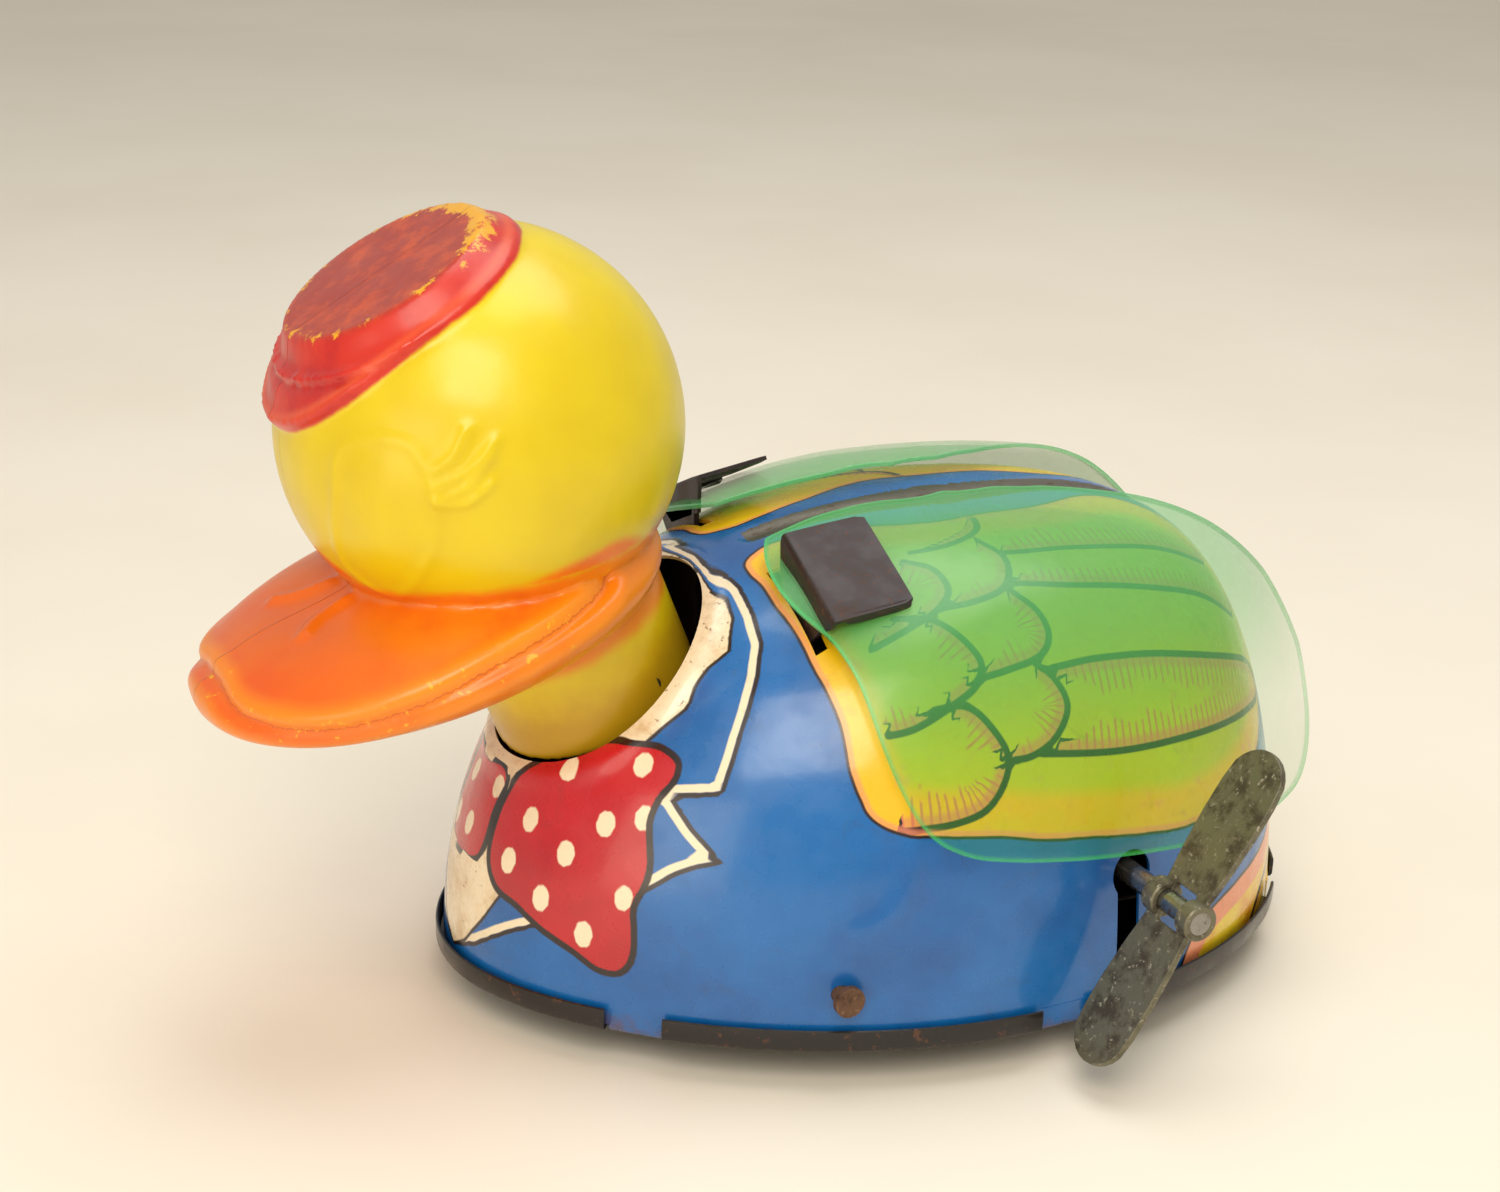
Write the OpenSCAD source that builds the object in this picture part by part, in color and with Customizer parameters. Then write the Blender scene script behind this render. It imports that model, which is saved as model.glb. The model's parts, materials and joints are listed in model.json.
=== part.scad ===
// Wind-up tin duck with flapping wings and a nodding head.
// +X points forward past the bill, +Y to the duck's left (the key side), +Z up.
// The origin is on the underside of the base pan, on the plane of symmetry.

/* [Body] */
// From the origin to the front of the chest
nose_length = 62.5; // [61:0.5:64]
// From the origin to the tip of the tail
tail_length = 58; // [57:0.5:60]
// Half the width of the body
half_width = 45; // [44:0.5:46]
// Height of the back above the base
back_z = 57; // [56:0.5:57.5]
// Thickness of the tin
tin = 0.5; // [0.4:0.05:0.6]
// Height of the upturned rim of the base
rim_height = 3.6; // [3:0.2:6]
// Radius of the opening for the neck
neck_opening_r = 16.5; // [16:0.1:17]

/* [Wings] */
// Gap between the back and the wings
wing_gap = 3; // [2.8:0.1:3.4]
// Thickness of the wing sheet
wing_sheet = 0.6; // [0.5:0.1:0.8]
// Highest lift of the wings in degrees
flap_angle = 9; // [6:1:9]

/* [Head] */
// Radius of the ball of the head
head_r = 25; // [24.5:0.1:25.5]
// Thickness of the moulded wall
head_wall = 1.4; // [1.2:0.1:1.8]

/* [Key and wheels] */
// Half the span of the winding key
key_reach = 22.3; // [20:0.1:22.5]
// Depth of the wheels below the base
floor_depth = 4.5; // [4.4:0.1:5]
// Radius of the winding shaft
shaft_r = 1.5; // [1.4:0.1:1.6]

/* [Hidden] */
$fn = 64;

// Clearances: a running shaft, and a gap between pieces of one body.
run = 0.05;
seat = 0.05;

// Base: the band outside the flat pan is raised to make room for the folded tabs.
band_z = 0.6;
band_width = 8;
sill_z = band_z + tin;
rim_gap = 0.6;
tab_angles = [40, 93, 150, 210, 267, 320];
tab_width = 7;
tab_foot = 3.5;

// Resolution of the pressed shells.
body_sides = 60;
body_rings = 16;
wing_flare = 5;
wing_steps = 30;
wing_rows = 9;
head_sides = 60;
head_rings = 36;

// Motor: shaft positions as [x, z].
shaft_at = [-13.4, 18.5];
drive_at = [-30, 5.6];
main_teeth = 26;
second_teeth = 20;
small_teeth = 8;
crank_teeth = 10;
gear_module = 1;
plate_y = 10.2;
plate_thick = 0.8;
plate_out = plate_y + plate_thick;
arbor_r = 1;
axle_r = 1.25;

// Flap linkage.
pivot_y = 9;
pivot_z = 34;
lever_x = 22.2;
lever_thick = 0.8;
bracket_x = 20.2;
finger_y = 21;
finger_r = 0.8;
bar_x = lever_x + lever_thick / 2 + 0.1;
boss_r = 2.2;
foot_z = pivot_z - boss_r;
finger_top = foot_z - 0.4;
guide_z = finger_top - 1.2;
bar_z = finger_top - 4.4;
lift = (finger_y - pivot_y) * tan(flap_angle) + (boss_r + 0.2) * (1 - 1 / cos(flap_angle));
yoke_y = 14;
crank_throw = 1.2;
crank_pin_r = 0.8;

// Head: the middle of the ball, and the pivot in the neck, as [x, z].
head_at = [58, 73.3];
nod_at = [40, 41];
head_pin_r = 1;
opening_at = [43, 41.5];
opening_tilt = 30;
neck_r = 13.6;
neck_at = [45, 41.5];

// Front wheels.
front_axle_at = [26.2, 8.3];
front_axle_r = 1.2;
front_wheel_y = 17;
front_wheel_width = 3;
drive_wheel_y = 15.5;
drive_wheel_width = 2.5;

// ---------- Shared shapes ----------

// A flat outline in X and Z, made solid from y upward by thick.
module across(y, thick) {
    translate([0, y + thick, 0])
        rotate([90, 0, 0])
            linear_extrude(thick) children();
}

// A flat outline in Y and Z, made solid from x forward by thick.
module along(x, thick) {
    translate([x, 0, 0])
        rotate([90, 0, 90])
            linear_extrude(thick) children();
}

module rod(at, y, length, r) {
    across(y, length) translate(at) circle(r);
}

module ring(at, y, length, r, bore) {
    across(y, length) translate(at) difference() {
        circle(r);
        circle(bore);
    }
}

// Splits four-sided faces in two, since their corners are not in one plane.
function triangles(faces) = [for (f = faces, k = [0:len(f) - 3]) [f[0], f[k + 1], f[k + 2]]];

module mirrored() {
    children();
    mirror([0, 1, 0]) children();
}

// Plan of the body at its sill; grow moves the line outward.
function plan_x(u, grow) = (cos(u) > 0 ? nose_length + grow : tail_length + grow) * cos(u);
function plan_y(u, grow) = (half_width + grow) * sin(u)
    * (1 - (cos(u) > 0 ? 0.16 : -0.06) * pow(cos(u), 2));
function plan(grow) = [for (i = [0:119]) [plan_x(i * 3, grow), plan_y(i * 3, grow)]];
function plan_turn(u) = atan2(plan_y(u + 1, 0) - plan_y(u - 1, 0), plan_x(u + 1, 0) - plan_x(u - 1, 0));

// Pressed tin back: u goes round the plan, v climbs from the sill to the ridge.
function swell(u, v) = 1 + (cos(u) > 0 ? 0.10 * cos(u) * sin(2 * v) : 0);
function back_point(u, v, out, low) = [
    -6 * pow(sin(v), 3) + plan_x(u, out) * pow(cos(v), cos(u) > 0 ? 0.70 : 0.55),
    plan_y(u, out) * swell(u, v) * pow(cos(v), 0.62),
    low + (back_z + out - low) * sin(v)
];

// ---------- Body ----------

function ring_v(i) = 90 * (1 - pow(1 - i / body_rings, 1.5));

function skin(out) = concat(
    [for (i = [0:body_rings - 1], j = [0:body_sides - 1])
        back_point(j * 360 / body_sides, ring_v(i), out, sill_z)],
    [back_point(0, 90, out, sill_z)]
);

module pressed_back() {
    count = body_rings * body_sides + 1;
    points = concat(skin(0), skin(-tin));
    outer = [for (i = [0:body_rings - 2], j = [0:body_sides - 1])
        let (a = i * body_sides + j, b = i * body_sides + (j + 1) % body_sides)
            [a, a + body_sides, b + body_sides, b]];
    outer_cap = [for (j = [0:body_sides - 1])
        let (row = (body_rings - 1) * body_sides)
            [row + j, count - 1, row + (j + 1) % body_sides]];
    sill = [for (j = [0:body_sides - 1])
        let (k = (j + 1) % body_sides)
            [j, k, count + k, count + j]];
    inner = [for (face = concat(outer, outer_cap))
        [for (i = [len(face) - 1:-1:0]) face[i] + count]];
    polyhedron(points, triangles(concat(outer, outer_cap, sill, inner)));
}

module body_tab(u) {
    translate([plan_x(u, 0), plan_y(u, 0), 0])
        rotate([0, 0, plan_turn(u)]) {
            translate([-tab_width / 2, -0.1, band_z - tin])
                cube([tab_width, tin, sill_z + 1.4]);
            translate([-tab_width / 2, -0.1, band_z - tin])
                cube([tab_width, tab_foot, tin - 0.05]);
        }
}

module neck_opening(r) {
    translate([opening_at[0], 0, opening_at[1]])
        rotate([0, opening_tilt, 0])
            cylinder(h = 26, r = r, center = true);
}

module body_shell() {
    color("steelblue")
    difference() {
        union() {
            pressed_back();
            for (u = tab_angles) body_tab(u);
        }
        neck_opening(neck_opening_r);
        rod(shaft_at, 30, 30, shaft_r + 1.6);
        translate([shaft_at[0] - 1.2, 38, sill_z - 5])
            cube([shaft_r * 2 + 0.6, 12, shaft_at[1] - sill_z + 5]);
        rod(front_axle_at, -60, 120, front_axle_r + seat);
        mirrored() translate([lever_x - 0.5, 10, 44]) cube([lever_thick + 1, 14.5, 16]);
    }
}

module wheel_slot(at, r, y, width) {
    reach = sqrt(r * r - at[1] * at[1]) + 1.5;
    translate([at[0] - reach, y - 0.8, -1]) cube([2 * reach, width + 1.6, 4]);
}

module rivet_sites() {
    for (x = [-12, 6]) mirrored() translate([x, plate_out + 3, 0]) children();
    for (y = [-8, 8]) translate([bracket_x - 4, y, 0]) children();
    for (y = [-4.5, 4.5]) translate([nod_at[0] + 8, y, 0]) children();
}

module base_plate() {
    color("dimgray")
    difference() {
        union() {
            linear_extrude(tin) polygon(plan(-band_width));
            linear_extrude(sill_z) difference() {
                polygon(plan(-band_width));
                polygon(plan(-band_width - tin));
            }
            translate([0, 0, band_z]) linear_extrude(tin) difference() {
                polygon(plan(rim_gap + tin));
                polygon(plan(-band_width - tin));
            }
            translate([0, 0, band_z]) linear_extrude(rim_height - band_z) difference() {
                polygon(plan(rim_gap + tin));
                polygon(plan(rim_gap));
            }
        }
        for (u = tab_angles)
            translate([plan_x(u, 0), plan_y(u, 0), 0])
                rotate([0, 0, plan_turn(u)])
                    translate([-tab_width / 2 - 0.3, -4, -1])
                        cube([tab_width + 0.6, 5, rim_height + 4]);
        mirrored() {
            wheel_slot(drive_at, drive_at[1] + floor_depth, drive_wheel_y, drive_wheel_width);
            wheel_slot(front_axle_at, front_axle_at[1] + floor_depth, front_wheel_y, front_wheel_width);
        }
        rivet_sites() translate([0, 0, -1]) cylinder(h = 4, r = 1.2 + seat);
    }
}

// ---------- Wings ----------

// Upper and lower edge of the left wing: height on the back in hundredths, by angle round the plan.
wing_low = [[21, 79], [40, 69], [56, 61], [64, 50], [70, 35], [76, 29], [90, 26], [120, 22],
    [140, 23], [151, 31], [157, 52]];
wing_high = [[21, 80], [24, 88], [34, 92.5], [70, 97], [115, 96.5], [135, 93], [149, 80], [157, 53]];

// The wing stands off the tail only low down.
function flare(u, v) = u > 90 ? wing_flare * pow(cos(u), 2) * min(1, 1.5 * pow(cos(v), 2)) : 0;
function wing_point(i, j, out) =
    let (u = 21 + 136 * i / wing_steps,
        w = lookup(u, wing_low) + (lookup(u, wing_high) - lookup(u, wing_low)) * j / wing_rows)
        back_point(u, w * 0.9, wing_gap + out + flare(u, w * 0.9), 0);

module wing() {
    row = wing_rows + 1;
    count = (wing_steps + 1) * row;
    points = [for (out = [0, -wing_sheet], i = [0:wing_steps], j = [0:wing_rows])
        wing_point(i, j, out)];
    top = [for (i = [0:wing_steps - 1], j = [0:wing_rows - 1])
        let (a = i * row + j)
            [a, a + 1, a + row + 1, a + row]];
    under = [for (face = top) [for (i = [3:-1:0]) face[i] + count]];
    rim = concat(
        [for (i = [0:wing_steps - 1]) [i * row, (i + 1) * row]],
        [for (j = [0:wing_rows - 1]) [wing_steps * row + j, wing_steps * row + j + 1]],
        [for (i = [wing_steps:-1:1]) [i * row + wing_rows, (i - 1) * row + wing_rows]],
        [for (j = [wing_rows:-1:1]) [j, j - 1]]
    );
    side = [for (edge = rim) [edge[0], edge[1], edge[1] + count, edge[0] + count]];
    polyhedron(points, triangles(concat(top, under, side)));
}

module wing_left() {
    color("limegreen") wing();
}

module wing_right() {
    color("limegreen") mirror([0, 1, 0]) wing();
}

// Pivoted lever with a clip folded back over the front of the wing.
module wing_lever() {
    difference() {
        union() {
            along(lever_x, lever_thick) {
                translate([pivot_y, pivot_z]) circle(boss_r);
                polygon([
                    [pivot_y, foot_z], [23, foot_z], [23, foot_z + 2], [20.5, foot_z + 3.4],
                    [20.5, 46.5], [25.4, 50.6], [26.6, 52.4], [13.6, 58.5], [13.2, 57], [13.4, 50],
                    [12.4, foot_z + 6], [pivot_y, pivot_z + boss_r]
                ]);
            }
            translate([lever_x + lever_thick - 11, 20, 55.1])
                rotate([-25.2, 0, 0])
                    translate([0, -8, 0])
                        cube([11.3, 16, lever_thick]);
        }
        along(lever_x - 1, lever_thick + 2) translate([pivot_y, pivot_z]) circle(1 + run);
    }
}

module wing_lever_left() {
    color("saddlebrown") wing_lever();
}

module wing_lever_right() {
    color("saddlebrown") mirror([0, 1, 0]) wing_lever();
}

// Upright that carries both lever pivots and guides the lifter's fingers.
module wing_bracket() {
    color("lightslategray")
    difference() {
        union() {
            along(bracket_x, plate_thick) difference() {
                union() {
                    translate([-12, tin]) square([24, pivot_z]);
                    translate([-24, guide_z]) square([48, 5]);
                    mirrored_flat() translate([pivot_y, pivot_z]) circle(3);
                }
                translate([-3, 24]) square([6, 20]);
            }
            translate([bracket_x - 7, -12, tin]) cube([7.4, 24, plate_thick]);
            mirrored() translate([bracket_x, finger_y - 2.5, guide_z])
                cube([4.6, 5, plate_thick]);
        }
        rivet_sites() translate([0, 0, -1]) cylinder(h = 6, r = 1.2 + seat);
        along(bracket_x - 1, 3) mirrored_flat() translate([pivot_y, pivot_z]) circle(1 + seat);
        mirrored() translate([bar_x, finger_y, guide_z - 1]) cylinder(h = 4, r = finger_r + run);
    }
}

module mirrored_flat() {
    children();
    mirror([1, 0]) children();
}

module wing_pivot_pins() {
    color("silver")
    mirrored() {
        along(bracket_x - 0.6, 0.6) translate([pivot_y, pivot_z]) circle(1.8);
        along(bracket_x - 0.6, 4) translate([pivot_y, pivot_z]) circle(1);
        along(bracket_x + plate_thick + seat, lever_x - bracket_x - plate_thick - 2 * seat)
            translate([pivot_y, pivot_z]) circle(1.8);
        along(lever_x + lever_thick + 0.1, 0.6) translate([pivot_y, pivot_z]) circle(1.8);
    }
}

// Yoke, arm, cross bar and two fingers that push the wing levers up.
module wing_lifter() {
    at = crank_at();
    top = 2 + crank_throw;
    bottom = lift + crank_throw + 1.2;
    color("darkkhaki")
    union() {
        across(yoke_y, plate_thick) difference() {
            polygon([
                [at[0] - 4, at[1] - bottom - 1.6], [at[0] + 4, at[1] - bottom - 1.6],
                [at[0] + 4, at[1] - 1], [bar_x + 1.2, bar_z - 2], [bar_x + 1.2, bar_z],
                [bar_x - 1.2, bar_z], [at[0] + 4, at[1] + top + 1.4], [at[0] - 4, at[1] + top + 1.4]
            ]);
            translate([at[0] - 2.3, at[1] - bottom]) square([4.6, bottom + top - 1]);
        }
        translate([bar_x, -finger_y - finger_r, bar_z])
            rotate([-90, 0, 0]) cylinder(h = 2 * (finger_y + finger_r), r = finger_r);
        mirrored() translate([bar_x, finger_y, bar_z])
            cylinder(h = finger_top - bar_z, r = finger_r);
    }
}

// ---------- Head ----------

// Distance from the middle of the ball to the skin, along a direction d.
function exit_oval(d, c, s) =
    let (e = [d[0] / s[0], d[1] / s[1], d[2] / s[2]],
        o = [c[0] / s[0], c[1] / s[1], c[2] / s[2]],
        a = e * e, b = e * o, q = b * b - a * (o * o - 1))
        q < 0 ? 0 : (b + sqrt(q)) / a;
function tip_down(d, a) = [d[0] * cos(a) - d[2] * sin(a), d[1], d[0] * sin(a) + d[2] * cos(a)];

// Flat crown set in the ball, and its band; the bill is an oval below the ball.
cap_axis = [sin(31), 0, cos(31)];
crown_r = 13.3;
crown_rise = 23.4;
band_spread = 11;
bill_at = [7, 0, -23.3];
bill_tilt = 16;
bill_size = [30.5, 25.3, 8.5];
function cap_exit(d, inset) =
    let (angle = acos(d * cap_axis), edge = atan(crown_r / crown_rise))
        angle < edge
            ? (crown_rise - inset) / cos(angle)
            : max(head_r, norm([crown_r, crown_rise]) - (angle - edge) / band_spread * 2) - inset;
function neck_exit(d, inset) =
    let (to = [neck_at[0] - head_at[0], 0, neck_at[1] - head_at[1]],
        unit = to / norm(to), down = d * unit, side = sqrt(max(1 - down * down, 0.0001)))
        down <= 0.2 ? 0 : min((norm(to) + 7 + 4 * inset) / down, (neck_r - inset) / side);
function head_reach(d, inset) =
    let (size = bill_size - inset * [1.5, 1.5, 1])
        max(
            cap_exit(d, inset),
            exit_oval(tip_down(d, bill_tilt), tip_down(bill_at, bill_tilt), size),
            neck_exit(d, inset)
        );
function head_point(i, j, sides, rings, inset) =
    let (a = j * 360 / sides, b = 180 * i / rings,
        d = [sin(b) * cos(a), sin(b) * sin(a), cos(b)],
        r = head_reach(d, inset))
        [head_at[0] + d[0] * r, d[1] * r, head_at[1] + d[2] * r];

module ball(sides, rings, inset) {
    points = concat(
        [head_point(0, 0, sides, rings, inset)],
        [for (i = [1:rings - 1], j = [0:sides - 1]) head_point(i, j, sides, rings, inset)],
        [head_point(rings, 0, sides, rings, inset)]
    );
    last = len(points) - 1;
    faces = concat(
        [for (j = [0:sides - 1]) [0, 1 + (j + 1) % sides, 1 + j]],
        [for (i = [0:rings - 3], j = [0:sides - 1])
            let (a = 1 + i * sides + j, b = 1 + i * sides + (j + 1) % sides)
                [a, b, b + sides, a + sides]],
        [for (j = [0:sides - 1])
            let (row = 1 + (rings - 2) * sides)
                [last, row + j, row + (j + 1) % sides]]
    );
    polyhedron(points, triangles(faces));
}

module head() {
    color("gold")
    difference() {
        ball(head_sides, head_rings, 0);
        ball(head_sides / 2, head_rings / 2, head_wall);
        translate([opening_at[0], 0, opening_at[1]])
            rotate([0, opening_tilt, 0])
                translate([0, 0, -29]) cylinder(h = 24, r = 40);
        rod(nod_at, -20, 40, head_pin_r + seat);
    }
}

module head_pin() {
    color("silver") rod(nod_at, -12.6, 25.2, head_pin_r);
}

// Strip on the pin whose tail rests over the lifter's bar.
module head_lever() {
    tail_z = bar_z + finger_r + 0.3;
    color("lightslategray")
    difference() {
        across(-0.4, 0.8) {
            translate(nod_at) circle(2.6);
            polygon([
                nod_at + [0.5, 2.4], nod_at + [-1, -2.3], [bar_x + 3, tail_z], [bar_x - 1, tail_z],
                [bar_x - 1, tail_z + 1.6], [bar_x + 2, tail_z + 2]
            ]);
        }
        rod(nod_at, -5, 10, head_pin_r);
    }
}

module neck_bracket() {
    color("lightslategray")
    difference() {
        union() {
            mirrored() across(6, plate_thick) {
                translate([nod_at[0] - 2.6, tin]) square([5.2, nod_at[1] - tin]);
                translate(nod_at) circle(2.6);
            }
            translate([nod_at[0] - 4, -6.8, tin]) cube([16, 13.6, plate_thick]);
        }
        rod(nod_at, -10, 20, head_pin_r + run);
        rivet_sites() translate([0, 0, -1]) cylinder(h = 6, r = 1.2 + seat);
    }
}

// ---------- Clockwork ----------

function between(a, b, ra, rb) =
    let (d = b - a, gap = norm(d), step = (ra * ra - rb * rb + gap * gap) / (2 * gap),
        unit = d / gap, side = sqrt(ra * ra - step * step))
        a + unit * step + [unit[1], -unit[0]] * side;
function pitch_r(teeth) = teeth * gear_module / 2;
function second_at() = between(shaft_at, drive_at, pitch_r(main_teeth + small_teeth),
    pitch_r(second_teeth + small_teeth));
function crank_at() = shaft_at + pitch_r(main_teeth + crank_teeth) * [cos(10), sin(10)];
function heading(a, b) = atan2(b[1] - a[1], b[0] - a[0]);

// Turn of a pinion that meshes with a gear whose tooth points along phase.
function mesh_turn(teeth, pinion, dir, phase) =
    dir + 180 - (phase - dir) * teeth / pinion + 180 / pinion;

// Involute tooth form.
function flank(base, r) =
    r <= base ? 0 : let (t = sqrt(pow(r / base, 2) - 1)) t * 180 / PI - atan(t);
function gear_outline(teeth) =
    let (pitch = pitch_r(teeth), base = pitch * cos(20), tip = pitch + 0.75 * gear_module,
        root = pitch - 1.1 * gear_module, half = 90 / teeth * 0.84 + 0.854,
        radii = [root, max(root, base), (max(root, base) + tip) / 2, tip])
        [for (k = [0:teeth - 1], side = [-1, 1], n = [0:3])
            let (r = radii[side < 0 ? n : 3 - n],
                a = k * 360 / teeth + side * (half - flank(base, r)))
                [r * cos(a), r * sin(a)]];

module gear(at, teeth, turn, y, thick, bore) {
    across(y, thick) translate(at) difference() {
        rotate(turn) polygon(gear_outline(teeth));
        circle(bore);
    }
}

module motor_plate() {
    difference() {
        union() {
            across(plate_y, plate_thick) {
                translate([-37, tin]) square([48, 22]);
                translate([-33, tin]) square([40, 30]);
                for (k = [0, 1]) translate(pillar_sites()[k]) circle(3.5);
            }
            translate([-37, plate_y, tin]) cube([48, 7 + plate_thick, plate_thick]);
        }
        rod(shaft_at, 0, 20, shaft_r + run);
        rod(second_at(), 0, 20, arbor_r + run);
        rod(crank_at(), 0, 20, arbor_r + run);
        rod(drive_at, 0, 20, axle_r + run);
        for (at = pillar_sites()) rod(at, 0, 20, 1 + seat);
        rivet_sites() translate([0, 0, -1]) cylinder(h = 6, r = 1.2 + seat);
        wheel_slot(drive_at, drive_at[1] + floor_depth, drive_wheel_y, 6);
    }
}

function pillar_sites() = [[-21.5, 33], [4.3, 31.5], [6, 5]];

module motor_plate_left() {
    color("silver") motor_plate();
}

module motor_plate_right() {
    color("silver") mirror([0, 1, 0]) motor_plate();
}

module motor_pillars() {
    color("darkgray")
    for (at = pillar_sites()) {
        rod(at, -plate_y + seat, 2 * (plate_y - seat), 1.8);
        rod(at, -plate_out - 0.5, 2 * (plate_out + 0.5), 1);
    }
}

module frame_rivets() {
    color("gray")
    rivet_sites() {
        cylinder(h = 1.9, r = 1.2);
        translate([0, 0, tin + plate_thick + seat]) cylinder(h = 0.7, r = 2.1);
    }
}

// Flat steel spring coiled round the winding shaft, its outer end hooked on a pillar.
module mainspring() {
    turns = 6;
    inner = shaft_r + 0.6;
    pitch = 1.5;
    steps = turns * 24;
    strip = 0.45;
    function spiral(i, w) = (inner + pitch * i / 24 + w) * [cos(i * 15), sin(i * 15)];
    color("slategray")
    across(-9.2, 9.5) translate(shaft_at)
        polygon(concat(
            [for (i = [0:steps]) spiral(i, 0)],
            [for (i = [steps:-1:0]) spiral(i, strip)]
        ));
}

module winding_shaft() {
    color("silver") rod(shaft_at, -plate_out - 1.5, plate_out + 59, shaft_r);
}

// Butterfly key of one sheet, with a window and two loops round the shaft.
module winding_key() {
    lean = 122.5;
    blade_r = 5;
    key_y = 52.8;
    color("rosybrown")
    difference() {
        union() {
            translate([shaft_at[0], key_y, shaft_at[1]])
                rotate([0, -lean, 0])
                    translate([0, 0, -0.45])
                        linear_extrude(0.9) difference() {
                            union() {
                                for (side = [-1, 1])
                                    translate([side * (key_reach - blade_r), 0]) circle(blade_r);
                                square([2 * (key_reach - blade_r), 8.6], center = true);
                            }
                            square([5, 4.4], center = true);
                        }
            rod(shaft_at, key_y - 4.8, 2.4, shaft_r + 0.9);
            rod(shaft_at, key_y + 2.4, 2.4, shaft_r + 0.9);
        }
        rod(shaft_at, key_y - 10, 20, shaft_r);
    }
}

ratchet_y = 4.2;
ratchet_teeth = 12;
click_at = shaft_at + 9.2 * [cos(70), sin(70)];

module ratchet_wheel() {
    color("goldenrod")
    across(ratchet_y, 1) translate(shaft_at) difference() {
        polygon([for (k = [0:ratchet_teeth - 1], s = [0, 1])
            let (a = (k + s * 0.12) * 360 / ratchet_teeth + 25, r = s == 0 ? 4.3 : 5.6)
                [r * cos(a), r * sin(a)]]);
        circle(shaft_r);
    }
}

module main_gear() {
    color("goldenrod")
    difference() {
        gear(shaft_at, main_teeth, heading(shaft_at, second_at()), 2, 1.5, shaft_r + run);
        rod(click_at, 0, 10, 0.8 + seat);
    }
}

// Small pawl that drops into the ratchet teeth.
module click() {
    nose = shaft_at + 6.3 * [cos(22), sin(22)];
    color("silver")
    difference() {
        across(ratchet_y, 1) {
            translate(click_at) circle(1.7);
            polygon([
                click_at + [-1.4, -0.6], click_at + [1.5, -0.3],
                nose + [0.5, 0.6], nose + [-0.35, -0.3]
            ]);
        }
        rod(click_at, 0, 10, 0.8 + run);
    }
}

module click_rivet() {
    color("gray") {
        rod(click_at, 1.4, 4.4, 0.8);
        rod(click_at, 1.4, 0.55, 1.4);
        rod(click_at, 5.3, 0.5, 1.4);
    }
}

module second_arbor() {
    color("silver") rod(second_at(), -plate_out - 1, 2 * (plate_out + 1), arbor_r);
}

module second_gear() {
    color("goldenrod")
    gear(second_at(), second_teeth, heading(second_at(), drive_at), 7, 1.3, arbor_r);
}

module second_pinion() {
    dir = heading(shaft_at, second_at());
    color("darkgoldenrod")
    gear(second_at(), small_teeth, mesh_turn(main_teeth, small_teeth, dir, dir), 1.4, 5.4, arbor_r);
}

module drive_axle() {
    half = drive_wheel_y + drive_wheel_width + 2;
    color("silver") rod(drive_at, -half, 2 * half, axle_r);
}

module drive_pinion() {
    dir = heading(second_at(), drive_at);
    color("darkgoldenrod")
    gear(drive_at, small_teeth, mesh_turn(second_teeth, small_teeth, dir, dir), 6.4, 3.2, axle_r);
}

module drive_wheel() {
    r = drive_at[1] + floor_depth;
    ring(drive_at, drive_wheel_y, drive_wheel_width, r, axle_r);
    ring(drive_at, drive_wheel_y - 1.5, 1.5, 3, axle_r);
}

module drive_wheel_left() {
    color("dimgray") drive_wheel();
}

module drive_wheel_right() {
    color("dimgray") mirror([0, 1, 0]) drive_wheel();
}

module crank_arbor() {
    color("silver") rod(crank_at(), -plate_out - 1, 2 * plate_out + 2.6, arbor_r);
}

module crank_pinion() {
    phase = heading(shaft_at, second_at());
    dir = heading(shaft_at, crank_at());
    color("darkgoldenrod")
    gear(crank_at(), crank_teeth, mesh_turn(main_teeth, crank_teeth, dir, phase), 1, 3.6, arbor_r);
}

module crank_disc() {
    color("silver") {
        ring(crank_at(), plate_out + 0.6, 1, 4.5, arbor_r);
        rod(crank_at() - [0, crank_throw], plate_out + 1.6, 3.4, crank_pin_r);
    }
}

// ---------- Front wheels ----------

module front_axle() {
    color("silver") {
        rod(front_axle_at, -41.8, 83.6, front_axle_r);
        mirrored() {
            rod(front_axle_at, 41.4, 0.8, 2);
            rod(front_axle_at, front_wheel_y + front_wheel_width + 0.2, 0.8, 2);
        }
    }
}

module axle_sleeve() {
    color("gray")
    ring(front_axle_at, 0.2 - front_wheel_y, 2 * (front_wheel_y - 0.2), 2.1, front_axle_r + seat);
}

module front_wheel() {
    r = front_axle_at[1] + floor_depth;
    ring(front_axle_at, front_wheel_y, front_wheel_width, r, front_axle_r + run);
}

module front_wheel_left() {
    color("dimgray") front_wheel();
}

module front_wheel_right() {
    color("dimgray") mirror([0, 1, 0]) front_wheel();
}

body_shell();
base_plate();
wing_left();
wing_right();
wing_lever_left();
wing_lever_right();
wing_bracket();
wing_pivot_pins();
wing_lifter();
neck_bracket();
head();
head_pin();
head_lever();
motor_plate_left();
motor_plate_right();
motor_pillars();
frame_rivets();
mainspring();
winding_shaft();
winding_key();
ratchet_wheel();
main_gear();
click();
click_rivet();
second_arbor();
second_gear();
second_pinion();
drive_axle();
drive_pinion();
drive_wheel_left();
drive_wheel_right();
crank_arbor();
crank_pinion();
crank_disc();
front_axle();
axle_sleeve();
front_wheel_left();
front_wheel_right();
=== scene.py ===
"""Wind-up tin duck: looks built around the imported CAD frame.

Lengths are millimetres until a mesh is made, and angles are degrees where a name doesn't say otherwise.
Outlines of the print are (u, v) on the pressed back: degrees round the plan, degrees of climb from the sill.
"""

import json
import math

import bmesh
import bpy
import numpy as np
from mathutils import Matrix, Vector


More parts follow.
